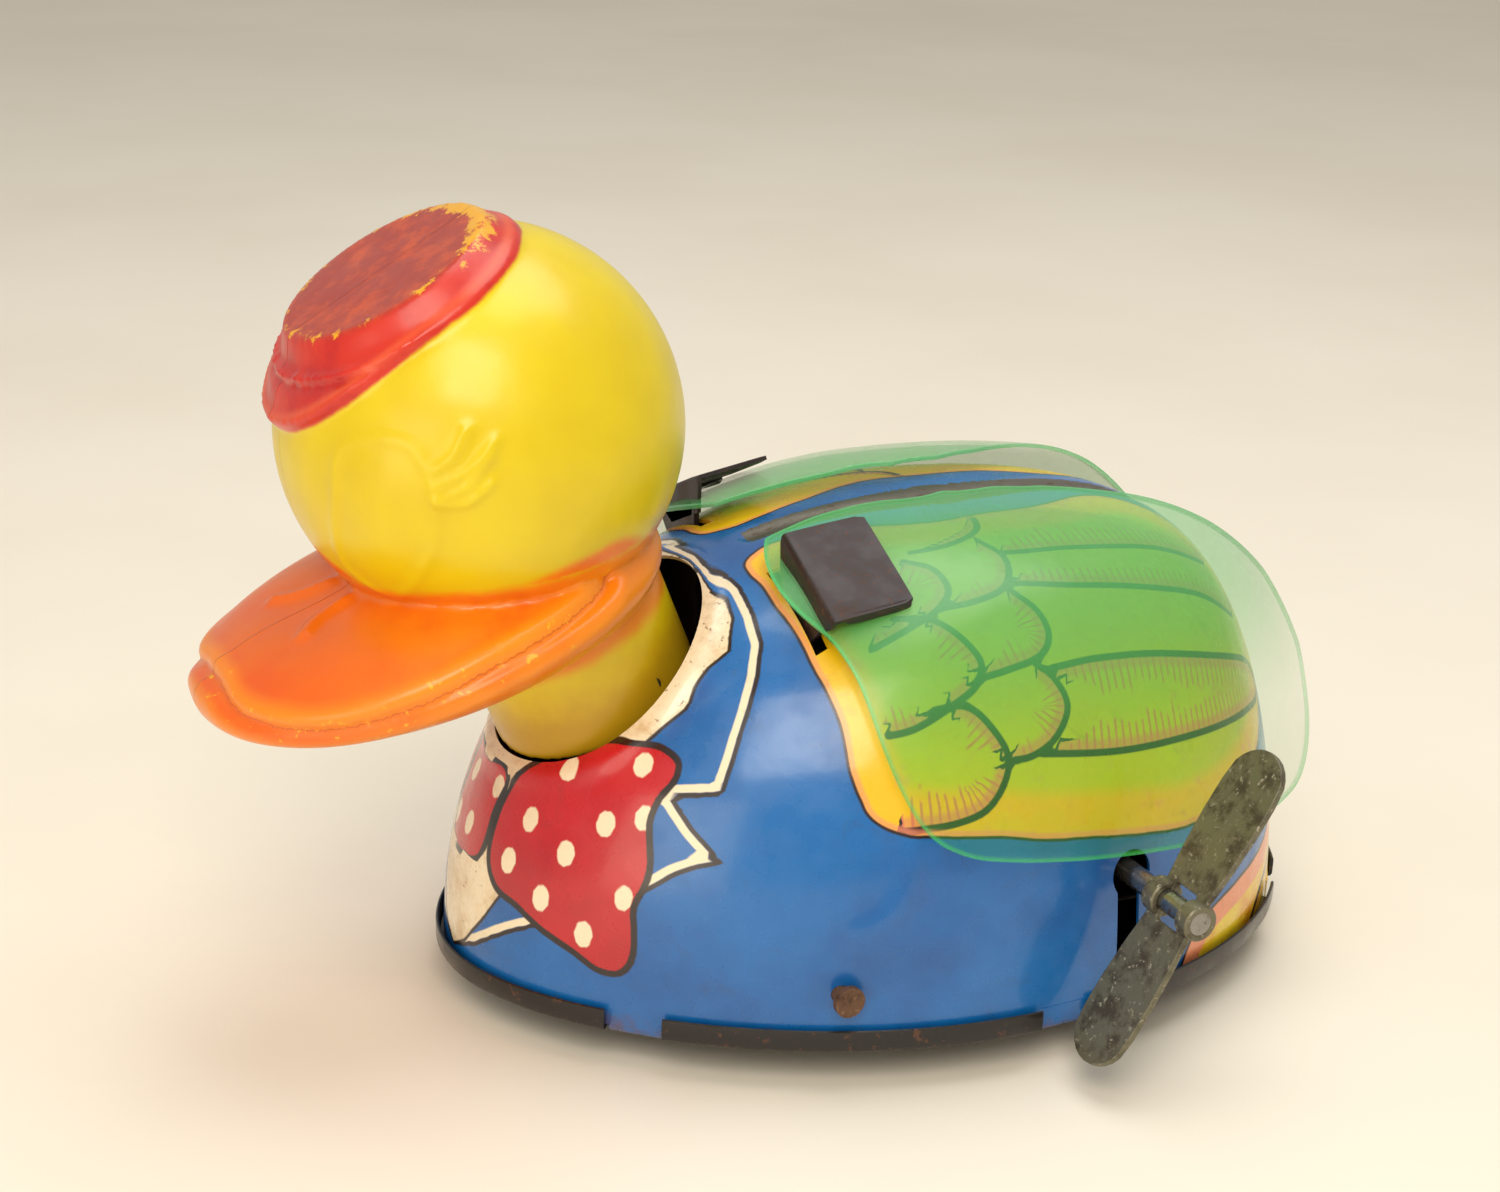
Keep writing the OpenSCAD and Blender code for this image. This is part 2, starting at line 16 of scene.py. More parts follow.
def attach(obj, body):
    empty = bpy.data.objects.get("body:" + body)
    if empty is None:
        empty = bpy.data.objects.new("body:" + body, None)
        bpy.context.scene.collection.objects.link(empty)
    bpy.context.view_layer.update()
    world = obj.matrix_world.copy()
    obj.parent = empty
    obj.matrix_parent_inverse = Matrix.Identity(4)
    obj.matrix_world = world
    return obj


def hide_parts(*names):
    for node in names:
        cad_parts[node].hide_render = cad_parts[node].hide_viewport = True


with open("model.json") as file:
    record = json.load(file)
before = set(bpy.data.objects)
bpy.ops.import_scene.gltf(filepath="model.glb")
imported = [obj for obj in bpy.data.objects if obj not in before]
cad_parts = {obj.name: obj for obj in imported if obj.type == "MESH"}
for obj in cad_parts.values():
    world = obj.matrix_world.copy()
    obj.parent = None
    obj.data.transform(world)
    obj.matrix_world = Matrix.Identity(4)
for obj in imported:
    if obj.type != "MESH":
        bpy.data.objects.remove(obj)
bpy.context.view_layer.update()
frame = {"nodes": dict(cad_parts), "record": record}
MM = 0.001

# ---------------------------------------------------------------- dimensions shared with the CAD part
NOSE, TAIL, HALF, BACK, SILL = 62.5, 58.0, 45.0, 57.0, 1.1
SADDLE, CHEST, FRONT_BLUNT, REAR_BLUNT, SIDE_BLUNT = 6.0, 0.10, 0.70, 0.55, 0.62
FRONT_NARROW, REAR_NARROW = 0.16, -0.06
TIN = 0.5
OPENING_TILT, OPENING_R = 30.0, 16.5
NECK_MIDDLE = np.array([43.0, 0, 41.5])
NECK_AXIS = np.array([math.sin(math.radians(OPENING_TILT)), 0, math.cos(math.radians(OPENING_TILT))])
NECK_FRAME = Matrix.Translation(Vector(NECK_MIDDLE) * MM) @ Matrix.Rotation(math.radians(OPENING_TILT), 4, "Y")
SHAFT_AT = (-13.4, 18.5)
FRONT_AXLE_AT, FRONT_AXLE_R = (26.2, 8.3), 1.25
HEAD_AT, HEAD_R, HEAD_WALL = np.array([58.0, 0.0, 73.3]), 25.0, 1.4
TAB_ANGLES = (40, 93, 150, 210, 267, 320)
SIDES = {1: "left", -1: "right"}


# ---------------------------------------------------------------- mesh helpers
def mesh_object(name, points, faces, materials):
    mesh = bpy.data.meshes.new(name)
    mesh.from_pydata((np.asarray(points) * MM).tolist(), [], [list(map(int, f)) for f in faces])
    mesh.update()
    obj = bpy.data.objects.new(name, mesh)
    bpy.context.scene.collection.objects.link(obj)
    for material in materials:
        mesh.materials.append(material)
    return obj


def smooth(obj, angle=40):
    mesh = obj.data
    mesh.polygons.foreach_set("use_smooth", [True] * len(mesh.polygons))
    mesh.set_sharp_from_angle(angle=math.radians(angle))
    return obj


def applied(obj):
    """Replaces the object's mesh by what its modifiers make of it."""
    graph = bpy.context.evaluated_depsgraph_get()
    mesh = bpy.data.meshes.new_from_object(obj.evaluated_get(graph))
    obj.modifiers.clear()
    old = obj.data
    obj.data = mesh
    bpy.data.meshes.remove(old)
    return obj


def cut(obj, cutters):
    for cutter in cutters:
        step = obj.modifiers.new("cut", "BOOLEAN")
        step.operation, step.solver, step.object = "DIFFERENCE", "MANIFOLD", cutter
    applied(obj)
    for cutter in cutters:
        bpy.data.objects.remove(cutter)
    return obj


def joined(name, parts):
    """One object out of several, materials kept."""
    with bpy.context.temp_override(active_object=parts[0], selected_editable_objects=parts):
        bpy.ops.object.join()
    parts[0].name = parts[0].data.name = name
    return parts[0]


def grid_faces(rows, columns, closed=False):
    """Quads of a grid of points stored row by row; closed joins the last column to the first."""
    i, j = np.meshgrid(np.arange(rows - 1), np.arange(columns if closed else columns - 1), indexing="ij")
    a, b = i * columns + j, i * columns + (j + 1) % columns
    return np.stack([a, b, b + columns, a + columns], -1).reshape(-1, 4)


def lathe(name, profile, material, at, sides=64):
    """Turns a closed profile of (radius, y) round a Y axis through at = (x, z)."""
    turn = np.linspace(0, 2 * np.pi, sides, endpoint=False)
    profile = np.asarray(profile, float)
    points = np.stack([
        at[0] + profile[:, 0, None] * np.cos(turn), np.repeat(profile[:, 1, None], sides, 1),
        at[1] + profile[:, 0, None] * np.sin(turn),
    ], -1).reshape(-1, 3)
    count = len(profile)
    faces = []
    for k in range(count):
        for j in range(sides):
            n, m = (j + 1) % sides, (k + 1) % count
            faces.append([k * sides + j, m * sides + j, m * sides + n, k * sides + n])
    return smooth(mesh_object(name, points, faces, [material]), 35)


def plate(name, outlines, thick, bevel, place, material):
    """A bevelled sheet-metal plate; the first outline is the rim, the others are holes."""
    curve = bpy.data.curves.new(name, "CURVE")
    curve.dimensions, curve.fill_mode = "2D", "BOTH"
    curve.extrude, curve.bevel_depth, curve.bevel_resolution = (thick / 2 - bevel) * MM, bevel * MM, 2
    curve.offset = -bevel * MM
    for outline in outlines:
        spline = curve.splines.new("POLY")
        spline.points.add(len(outline) - 1)
        for point, (x, y) in zip(spline.points, outline):
            point.co = (x * MM, y * MM, 0, 1)
        spline.use_cyclic_u = True
    obj = bpy.data.objects.new(name, curve)
    bpy.context.scene.collection.objects.link(obj)
    graph = bpy.context.evaluated_depsgraph_get()
    mesh = bpy.data.meshes.new_from_object(obj.evaluated_get(graph))
    bpy.data.objects.remove(obj)
    mesh.transform(place)
    made = bpy.data.objects.new(name, mesh)
    bpy.context.scene.collection.objects.link(made)
    mesh.materials.clear()
    mesh.materials.append(material)
    return smooth(made, 35)


def rod_cutter(at, y, length, r, sides=48):
    turn = np.linspace(0, 2 * np.pi, sides, endpoint=False)
    ring = np.stack([at[0] + r * np.cos(turn), at[1] + r * np.sin(turn)], -1)
    points = [(x, yy, z) for yy in (y, y + length) for x, z in ring]
    faces = [[k, (k + 1) % sides, sides + (k + 1) % sides, sides + k] for k in range(sides)]
    faces += [list(range(sides))[::-1], [sides + k for k in range(sides)]]
    return closed_cutter(points, faces)


def box_cutter(low, high, turn=None):
    points = [(x, y, z) for z in (low[2], high[2]) for y in (low[1], high[1]) for x in (low[0], high[0])]
    faces = [[0, 2, 3, 1], [4, 5, 7, 6], [0, 1, 5, 4], [2, 6, 7, 3], [0, 4, 6, 2], [1, 3, 7, 5]]
    cutter = closed_cutter(points, faces)
    if turn:
        cutter.data.transform(turn)
    return cutter


def closed_cutter(points, faces):
    cutter = mesh_object("cutter", points, faces, [])
    work = bmesh.new()
    work.from_mesh(cutter.data)
    bmesh.ops.recalc_face_normals(work, faces=work.faces)
    work.to_mesh(cutter.data)
    work.free()
    cutter.hide_render = True
    return cutter


def ball_faces(rows, columns):
    """Faces of a ball stored as rows of columns points, then its top point and its bottom point."""
    last, top, bottom = (rows - 1) * columns, rows * columns, rows * columns + 1
    faces = grid_faces(rows, columns, closed=True)[:, ::-1].tolist()
    faces += [[j, (j + 1) % columns, top] for j in range(columns)]
    return faces + [[last + (j + 1) % columns, last + j, bottom] for j in range(columns)]


def arc(x, z, r, angles):
    """Points of a circle at angles in radians."""
    return [(x + r * math.cos(a), z + r * math.sin(a)) for a in angles]


def keep_point_values(obj, values):
    for name, value in values.items():
        attribute = obj.data.attributes.new(name, "FLOAT", "POINT")
        attribute.data.foreach_set("value", np.asarray(value, np.float32))


def coordinates(obj):
    flat = np.zeros(len(obj.data.vertices) * 3, np.float32)
    obj.data.vertices.foreach_get("co", flat)
    return flat.reshape(-1, 3).astype(float) / MM


def halved(places):
    """The same places, all on the left half."""
    half = places.copy()
    half[:, 1] = np.abs(half[:, 1])
    return half


# ---------------------------------------------------------------- drawing on a surface
def curve_through(points, steps=8, closed=False):
    """Catmull-Rom curve through control points; steps=1 keeps straight lines."""
    p = np.asarray(points, float)
    if steps == 1:
        return np.vstack([p, p[:1]]) if closed else p
    ends = (p[-1:], p[:2]) if closed else (2 * p[:1] - p[1:2], 2 * p[-1:] - p[-2:-1])
    q = np.vstack([ends[0], p, ends[1]])
    out = []
    t = np.linspace(0, 1, steps, endpoint=False)[:, None]
    for k in range(len(q) - 3):
        a, b, c, d = q[k:k + 4]
        bend, twist = 2 * a - 5 * b + 4 * c - d, 3 * b - a - 3 * c + d
        out.append(0.5 * (2 * b + (c - a) * t + bend * t**2 + twist * t**3))
    out.append(q[-2:-1])
    return np.vstack(out)


def to_line(points, line):
    """Distance from every point to a polyline, and how far along it the nearest place is."""
    best = np.full(len(points), 1e9)
    along = np.zeros(len(points))
    start = 0.0
    for a, b in zip(line[:-1], line[1:]):
        d = b - a
        length = float(np.sqrt(d @ d))
        if length < 1e-9:
            continue
        t = np.clip((points - a) @ d / (length * length), 0, 1)
        away = np.sqrt((((a + t[:, None] * d) - points) ** 2).sum(1))
        near = away < best
        best[near], along[near] = away[near], start + t[near] * length
        start += length
    return best, along


def inside(uv, polygon):
    x, y = uv[:, 0], uv[:, 1]
    hit = np.zeros(len(uv), bool)
    for (x0, y0), (x1, y1) in zip(polygon[:-1], polygon[1:]):
        if y0 == y1:
            continue
        hit ^= ((y0 > y) != (y1 > y)) & (x < (x1 - x0) * (y - y0) / (y1 - y0) + x0)
    return hit


# ---------------------------------------------------------------- the pressed back as a surface
def plan_x(u, grow):
    return np.where(np.cos(u) > 0, NOSE + grow, TAIL + grow) * np.cos(u)


def plan_y(u, grow):
    narrow = np.where(np.cos(u) > 0, FRONT_NARROW, REAR_NARROW)
    return (HALF + grow) * np.sin(u) * (1 - narrow * np.cos(u) ** 2)


def plan_place(u):
    """Point of the plan at u, and the way along it."""
    a, step = np.radians(u), np.radians(1)
    ahead = [plan(a + step, 0) - plan(a - step, 0) for plan in (plan_x, plan_y)]
    return np.array([plan_x(a, 0), plan_y(a, 0)]), np.array(ahead)


def back_point(u, v, out=0.0, low=SILL):
    """u in degrees round the plan, v in degrees of climb from the sill to the ridge."""
    u, v = np.radians(u), np.radians(v)
    climb = np.maximum(np.cos(v), 1e-9)
    front = np.cos(u) > 0
    swell = 1 + np.where(front, CHEST * np.cos(u) * np.sin(2 * v), 0)
    return np.stack([
        -SADDLE * np.sin(v) ** 3 + plan_x(u, out) * climb ** np.where(front, FRONT_BLUNT, REAR_BLUNT),
        plan_y(u, out) * swell * climb ** SIDE_BLUNT,
        low + (BACK + out - low) * np.sin(v),
    ], -1)


def surface_uv(points):
    """(u, v) of points near the outside of the back, and how far out they lie (1 is on the skin)."""
    v = np.arcsin(np.clip((points[:, 2] - SILL) / (BACK - SILL), 0, 0.99999))
    climb = np.cos(v)
    ahead = points[:, 0] + SADDLE * np.sin(v) ** 3
    front = ahead > 0
    blunt = climb ** np.where(front, FRONT_BLUNT, REAR_BLUNT)
    c = np.clip(ahead / (np.where(front, NOSE, TAIL) * blunt), -1.2, 1.2)
    narrow = 1 - np.where(front, FRONT_NARROW, REAR_NARROW) * np.clip(c, -1, 1) ** 2
    narrow = narrow * (1 + np.where(front, CHEST * c * np.sin(2 * v), 0))
    s = points[:, 1] / (HALF * climb ** SIDE_BLUNT) / narrow
    return np.stack([np.degrees(np.arctan2(s, c)), np.degrees(v)], -1), np.hypot(s, c)


# ---------------------------------------------------------------- material helpers
def linear(r, g, b):
    """0..255 display colour to scene values."""
    shares = (r / 255, g / 255, b / 255)
    return tuple(x / 12.92 if x <= 0.04045 else ((x + 0.055) / 1.055) ** 2.4 for x in shares) + (1.0,)


class Look:
    """A Principled material and short names for the nodes that feed it."""

    def __init__(self, name, rough=0.4, metal=0.0, coat=0.0, coat_rough=0.1, ior=1.5, scatter=0.0):
        self.material = bpy.data.materials.new(name)
        self.material.use_nodes = True
        self.tree = self.material.node_tree
        self.shader = self.tree.nodes["Principled BSDF"]
        s = self.shader.inputs
        s["Roughness"].default_value, s["Metallic"].default_value = rough, metal
        s["Coat Weight"].default_value, s["Coat Roughness"].default_value = coat, coat_rough
        s["IOR"].default_value, s["Subsurface Weight"].default_value = ior, scatter
        self.place = self.node("ShaderNodeTexCoord").outputs["Object"]

    def node(self, kind):
        return self.tree.nodes.new(kind)

    def feed(self, socket, value):
        if isinstance(value, bpy.types.NodeSocket):
            self.tree.links.new(value, socket)
        else:
            socket.default_value = value

    def math(self, how, a, b=0.0, c=0.0):
        node = self.node("ShaderNodeMath")
        node.operation = how
        for socket, value in zip(node.inputs, (a, b, c)):
            self.feed(socket, value)
        return node.outputs[0]

    def times(self, a, b):
        return self.math("MULTIPLY", a, b)

    def plus(self, a, b):
        return self.math("ADD", a, b)

    def minus(self, a, b):
        return self.math("SUBTRACT", a, b)

    def attribute(self, name):
        node = self.node("ShaderNodeAttribute")
        node.attribute_name = name
        return node.outputs["Fac"]

    def axis(self, which):
        node = self.node("ShaderNodeSeparateXYZ")
        self.feed(node.inputs[0], self.place)
        return self.times(node.outputs["XYZ".index(which)], 1 / MM)

    def noise(self, size, detail=4.0, rough=0.55, stretch=(1, 1, 1), warp=0.0):
        """Noise whose blobs are about size millimetres across."""
        mapping = self.node("ShaderNodeMapping")
        self.feed(mapping.inputs["Vector"], self.place)
        mapping.inputs["Scale"].default_value = [1 / (size * MM) / k for k in stretch]
        node = self.node("ShaderNodeTexNoise")
        self.feed(node.inputs["Vector"], mapping.outputs[0])
        node.inputs["Scale"].default_value, node.inputs["Detail"].default_value = 1.0, detail
        node.inputs["Roughness"].default_value, node.inputs["Distortion"].default_value = rough, warp
        return node.outputs["Fac"]

    def ramp(self, value, low, high, at_low=0.0, at_high=1.0):
        node = self.node("ShaderNodeMapRange")
        node.interpolation_type = "SMOOTHSTEP"
        for k, v in enumerate((value, low, high, at_low, at_high)):
            self.feed(node.inputs[k], v)
        return node.outputs[0]

    def below(self, value, edge, soft=0.12):
        return self.ramp(value, edge - soft, edge + soft, 1.0, 0.0)

    def near(self, value, at, reach, soft=0.12):
        """1 within reach of a value, 0 further off."""
        return self.below(self.math("ABSOLUTE", self.minus(value, at)), reach, soft)

    def between(self, value, low, high):
        return self.times(self.below(value, high), self.minus(1.0, self.below(value, low)))

    def mix(self, share, a, b):
        node = self.node("ShaderNodeMix")
        node.data_type = "RGBA"
        self.feed(node.inputs["Factor"], share)
        self.feed(node.inputs["A"], a)
        self.feed(node.inputs["B"], b)
        return node.outputs["Result"]

    def bump(self, height, depth, after=None):
        """height 0..1 becomes a relief of depth millimetres."""
        node = self.node("ShaderNodeBump")
        node.inputs["Strength"].default_value = 1.0
        node.inputs["Distance"].default_value = depth * MM
        self.feed(node.inputs["Height"], height)
        if after is not None:
            self.feed(node.inputs["Normal"], after)
        return node.outputs[0]

    def done(self, colour=None, rough=None, normal=None, metal=None, alpha=None):
        for name, value in (("Base Color", colour), ("Roughness", rough), ("Normal", normal),
                            ("Metallic", metal), ("Alpha", alpha)):
            if value is not None:
                self.feed(self.shader.inputs[name], value)
        return self.material


BLUE, DEEP_BLUE = linear(18, 104, 178), linear(12, 80, 150)
CREAM, INK = linear(233, 220, 190), linear(34, 20, 20)
RED, YELLOW, PINK = linear(190, 22, 34), linear(240, 190, 18), linear(240, 140, 108)
RUST = linear(96, 52, 26)


def printed_look():
    look = Look("printed_tin", rough=0.3, coat=0.5, coat_rough=0.12)
    wobble = look.times(look.minus(look.noise(5, 2), 0.5), 0.35)
    value = lambda name: look.plus(look.attribute(name), wobble)
    cloud = look.noise(22, 5)
    colour = look.mix(look.ramp(cloud, 0.35, 0.7), BLUE, DEEP_BLUE)
    # collar and lapels: a dark edge, a cream line, then the blue cloth again
    collar = value("collar")
    colour = look.mix(look.between(collar, -1.45, -0.45), colour, CREAM)
    colour = look.mix(look.between(collar, -0.45, 0.15), colour, INK)
    # shirt front and the ring round the neck, aged
    shirt = value("shirt")
    aged = look.mix(look.ramp(look.noise(7, 6, 0.7), 0.42, 0.75), CREAM, linear(196, 164, 116))
    aged = look.mix(look.ramp(look.noise(1.3, 5, 0.7), 0.60, 0.70), aged, linear(112, 74, 44))
    colour = look.mix(look.below(shirt, 0.45), colour, INK)
    colour = look.mix(look.below(shirt, 0.0), colour, aged)
    # wings printed on the back, with hatched feathers
    wing = value("wing")
    blotch = look.ramp(look.noise(3.2, 3, 0.6), 0.60, 0.72)
    yellow = look.mix(look.times(blotch, 0.45), YELLOW, PINK)
    yellow = look.mix(look.ramp(look.noise(16, 4), 0.45, 0.75), yellow, linear(226, 204, 20))
    yellow = look.mix(look.ramp(wing, -4.0, -7.0, 0.0, 0.6), yellow, linear(160, 214, 24))
    feather, along = look.attribute("feather"), look.attribute("feather_along")
    outline, share = look.attribute("feather_edge"), look.attribute("feather_share")
    stroke = look.math("SINE", look.times(along, 5.2))
    reach = look.math("MULTIPLY_ADD", look.noise(2.5, 1), 7.0, 1.0)
    hatch = look.times(look.ramp(stroke, 0.35, 0.75), look.below(look.math("DIVIDE", outline, reach), 0.9))
    within = look.ramp(feather, 0.0, 0.3)
    hatch = look.times(look.times(hatch, look.times(within, look.ramp(share, 0.5, 1.3))), 0.8)
    rim = look.times(look.below(outline, 1.6, 0.5), look.times(within, 0.6))
    yellow = look.mix(hatch, yellow, linear(206, 110, 84))
    yellow = look.mix(rim, yellow, linear(214, 120, 92))
    # the signed distance has no gaps between mesh points, the plain one tells a line from a jump
    ink = look.times(look.near(feather, 0.0, 0.46), look.below(outline, 1.7, 0.3))
    yellow = look.mix(ink, yellow, linear(40, 26, 22))
    yellow = look.mix(look.times(look.ramp(wing, -1.0, -0.4), 0.6), yellow, PINK)
    colour = look.mix(look.below(wing, 0.4), colour, INK)
    colour = look.mix(look.below(wing, 0.0), colour, yellow)
    # tail
    tail = value("tail")
    gold = look.mix(look.ramp(look.noise(9, 5), 0.5, 0.72), linear(240, 206, 40), linear(226, 140, 20))
    gold = look.mix(look.times(look.ramp(tail, -3.2, -2.8), 0.9), gold, PINK)
    gold = look.mix(look.below(look.attribute("tail_line"), 0.6), gold, INK)
    colour = look.mix(look.below(tail, 0.5), colour, INK)
    colour = look.mix(look.below(tail, 0.0), colour, gold)
    # spotted bow
    bow, dots = value("bow"), value("dots")
    red = look.mix(look.ramp(cloud, 0.4, 0.7), RED, linear(164, 14, 30))
    red = look.mix(look.below(dots, 0.0), red, CREAM)
    colour = look.mix(look.below(bow, 0.1), colour, INK)
    colour = look.mix(look.below(bow, -0.8), colour, red)
    # dirt, scuffs down to the tin, and rust creeping up from the sill
    scuff = look.math("GREATER_THAN", look.noise(1.1, 5, 0.75), 0.70)
    scuff = look.times(scuff, look.ramp(look.noise(14, 2), 0.52, 0.64))
    dirt = look.times(look.ramp(look.noise(5, 6, 0.7, warp=0.6), 0.56, 0.8), 0.30)
    colour = look.mix(dirt, colour, linear(60, 50, 44))
    colour = look.mix(look.times(scuff, 0.75), colour, linear(70, 62, 60))
    creep = look.minus(look.times(look.noise(6, 6, 0.7), 12.0), look.axis("Z"))
    rust = look.times(look.ramp(creep, 3.4, 7.0), 0.7)
    colour = look.mix(rust, colour, RUST)
    rough = look.ramp(look.plus(look.noise(4, 5), look.times(scuff, 0.5)), 0.3, 1.0, 0.22, 0.6)
    normal = look.bump(look.noise(13, 2), 0.35)
    normal = look.bump(look.noise(0.9, 4), 0.02, after=normal)
    return look.done(colour, rough, normal)


def worn_metal(name, base, worn, spots, rough, metal, grain, share, coat, depth):
    """Sheet metal with a mottled finish: worn patches, then small spots."""
    look = Look(name, rough=rough, metal=metal, coat=coat)
    patches = look.ramp(look.noise(grain, 6, 0.7), share, share + 0.2)
    colour = look.mix(patches, linear(*base), linear(*worn))
    dots = look.ramp(look.noise(grain * 0.28, 4, 0.7), 0.58, 0.68)
    colour = look.mix(look.times(dots, 0.8), colour, linear(*spots))
    uneven = look.math("MULTIPLY_ADD", dots, 0.3, look.noise(grain, 4))
    rough_map = look.ramp(uneven, 0.25, 1.0, rough - 0.12, rough + 0.25)
    normal = look.bump(look.noise(grain * 0.4, 5, 0.65), depth)
    return look.done(colour, rough_map, normal)


def moulded_look():
    look = Look("moulded_head", rough=0.34, coat=0.25, coat_rough=0.22, ior=1.46, scatter=0.18)
    look.shader.inputs["Subsurface Radius"].default_value = (1.0, 0.75, 0.1)
    look.shader.inputs["Subsurface Scale"].default_value = 0.004
    wobble = look.times(look.minus(look.noise(4, 3), 0.5), 1.2)
    cloud = look.noise(24, 3)
    colour = look.mix(look.ramp(cloud, 0.3, 0.75), linear(228, 204, 8), linear(214, 186, 4))
    # darker and browner towards the base of the neck
    neck_base_share = look.plus(look.attribute("neck"), look.times(wobble, 3.0))
    colour = look.mix(look.ramp(neck_base_share, 7.0, -1.0, 0.0, 0.65), colour, linear(160, 104, 24))
    # bill: sprayed orange that fades at its upper edge, redder towards the tip
    bill = look.plus(look.attribute("bill"), wobble)
    orange = look.mix(look.ramp(look.axis("X"), 62, 96), linear(240, 130, 12), linear(222, 84, 14))
    orange = look.mix(look.ramp(look.noise(9, 4), 0.42, 0.72), orange, linear(226, 104, 10))
    lip = look.attribute("lip")
    # painted highlight: a lighter orange band along the upper lip, just above the line between the lips
    orange = look.mix(look.times(look.near(lip, 1.4, 1.5, 1.2), 0.55), orange, linear(244, 156, 22))
    orange = look.mix(look.ramp(lip, -0.5, -3.0, 0.0, 0.75), orange, linear(236, 140, 14))
    # painted shade: a dark red-brown line in the groove between the lips
    orange = look.mix(look.times(look.near(lip, 0.0, 0.3, 0.3), 0.55), orange, linear(176, 60, 8))
    chip = look.times(look.ramp(look.noise(1.6, 5, 0.7), 0.60, 0.66), look.near(lip, 0.0, 2.4, 0.8))
    orange = look.mix(look.times(chip, 0.6), orange, linear(240, 200, 40))
    colour = look.mix(look.ramp(bill, 1.0, -1.2), colour, orange)
    # cap: red paint, browner on the crown, rubbed through along the crown's edge
    cap, crown = look.attribute("cap"), look.attribute("crown")
    red = look.mix(look.ramp(look.noise(6, 4), 0.4, 0.7), linear(206, 46, 28), linear(186, 30, 28))
    brown = look.mix(look.ramp(look.noise(4, 6, 0.7), 0.42, 0.7), linear(160, 48, 34), linear(196, 72, 26))
    red = look.mix(look.below(crown, 0.0, 0.8), red, brown)
    rub = look.minus(1.0, look.math("DIVIDE", look.math("ABSOLUTE", look.plus(crown, 0.3)), 2.2))
    worn = look.plus(look.noise(2.2, 6, 0.75), look.ramp(look.axis("X"), 68, 54, 0.0, 0.30))
    rubbed = look.ramp(look.plus(worn, look.times(rub, 0.22)), 0.74, 0.82)
    rubbed = look.times(rubbed, look.ramp(rub, -0.3, 0.2))
    red = look.mix(rubbed, red, linear(226, 164, 24))
    # painted highlight: a lighter orange-red band just inside the cap's edge, along the raised band and visor lip
    red = look.mix(look.times(look.near(cap, -1.6, 0.5, 0.6), 0.45), red, linear(232, 104, 50))
    edge = look.plus(cap, look.times(wobble, 0.5))
    colour = look.mix(look.below(edge, 0.0, 0.25), colour, red)
    seam = look.near(look.axis("Y"), 0.0, 0.12, 0.22)
    height = look.plus(look.times(look.noise(9, 2), 0.7), look.times(seam, 0.45))
    normal = look.bump(height, 0.4)
    normal = look.bump(look.noise(0.7, 3), 0.015, after=normal)
    rough = look.ramp(look.noise(7, 4), 0.3, 0.8, 0.28, 0.42)
    return look.done(colour, rough, normal)


def green_look():
    """Thin translucent green sheet, cloudier higher up, with a painted sky reflection that lightens its upper part
    and a painted highlight along its cut edge.
    """
    look = Look("green_sheet", rough=0.2, coat=0.35, coat_rough=0.18, ior=1.48)
    rim = look.below(look.attribute("edge"), 0.45, 0.3)
    colour = look.mix(look.ramp(look.noise(20, 4), 0.35, 0.7), linear(70, 190, 60), linear(54, 176, 56))
    # painted sky reflection: higher up the sheet is mixed towards a light mint green, and made cloudier
    high = look.ramp(look.axis("Z"), 24, 60)
    colour = look.mix(look.times(high, 0.6), colour, linear(120, 206, 144))
    # painted highlight: a lighter, bluer green along the cut edge of the sheet
    colour = look.mix(look.times(rim, 0.6), colour, linear(70, 200, 120))
    specks = look.ramp(look.noise(1.1, 4, 0.7), 0.68, 0.74)
    specks = look.times(specks, look.ramp(look.noise(12, 2), 0.45, 0.6))
    colour = look.mix(look.times(specks, 0.6), colour, linear(40, 80, 44))
    haze = look.plus(look.ramp(high, 0.1, 1.0, 0.11, 0.38), look.times(rim, 0.3))
    alpha = look.plus(haze, look.times(specks, 0.25))
    normal = look.bump(look.noise(15, 2), 0.5)
    normal = look.bump(look.noise(0.8, 4), 0.012, after=normal)
    return look.done(colour, look.ramp(look.noise(6, 5), 0.3, 0.8, 0.16, 0.36), normal, alpha=alpha)


PRINTED, HEAD_LOOK, GREEN = printed_look(), moulded_look(), green_look()
# colours of the sheet, its worn patches and its spots; roughness, metalness, patch size, where the patches
# start, coat and relief
METALS = {
    "black_tin": ((26, 22, 22), (48, 36, 32), (96, 56, 34), 0.36, 0.25, 5, 0.55, 0.3, 0.04),
    "dark_tin": ((50, 42, 44), (66, 50, 46), (104, 66, 50), 0.48, 0.3, 4, 0.5, 0.0, 0.05),
    "key_tin": ((112, 108, 88), (74, 66, 54), (176, 170, 150), 0.44, 0.45, 3.2, 0.45, 0.0, 0.08),
    "plated_tin": ((120, 116, 106), (92, 86, 74), (88, 62, 40), 0.38, 0.85, 6, 0.5, 0.0, 0.06),
    "steel": ((150, 148, 142), (112, 106, 98), (96, 66, 44), 0.3, 0.95, 4, 0.55, 0.0, 0.03),
    "spring_steel": ((74, 82, 100), (98, 92, 86), (60, 44, 36), 0.28, 0.95, 5, 0.6, 0.0, 0.02),
    "rusty_steel": ((104, 74, 54), (70, 48, 38), (150, 120, 92), 0.55, 0.4, 2.0, 0.5, 0.0, 0.05),
    "brass": ((196, 152, 74), (150, 112, 54), (104, 80, 44), 0.32, 0.95, 4, 0.55, 0.0, 0.03),
    "wheel_tin": ((72, 70, 70), (52, 46, 44), (110, 74, 48), 0.4, 0.7, 4, 0.5, 0.0, 0.06),
}
BY_SLOT = {"printed_tin": PRINTED, "green_sheet": GREEN, "yellow_moulding": HEAD_LOOK}
for metal_name, metal_row in METALS.items():
    BY_SLOT[metal_name] = worn_metal(metal_name, *metal_row)


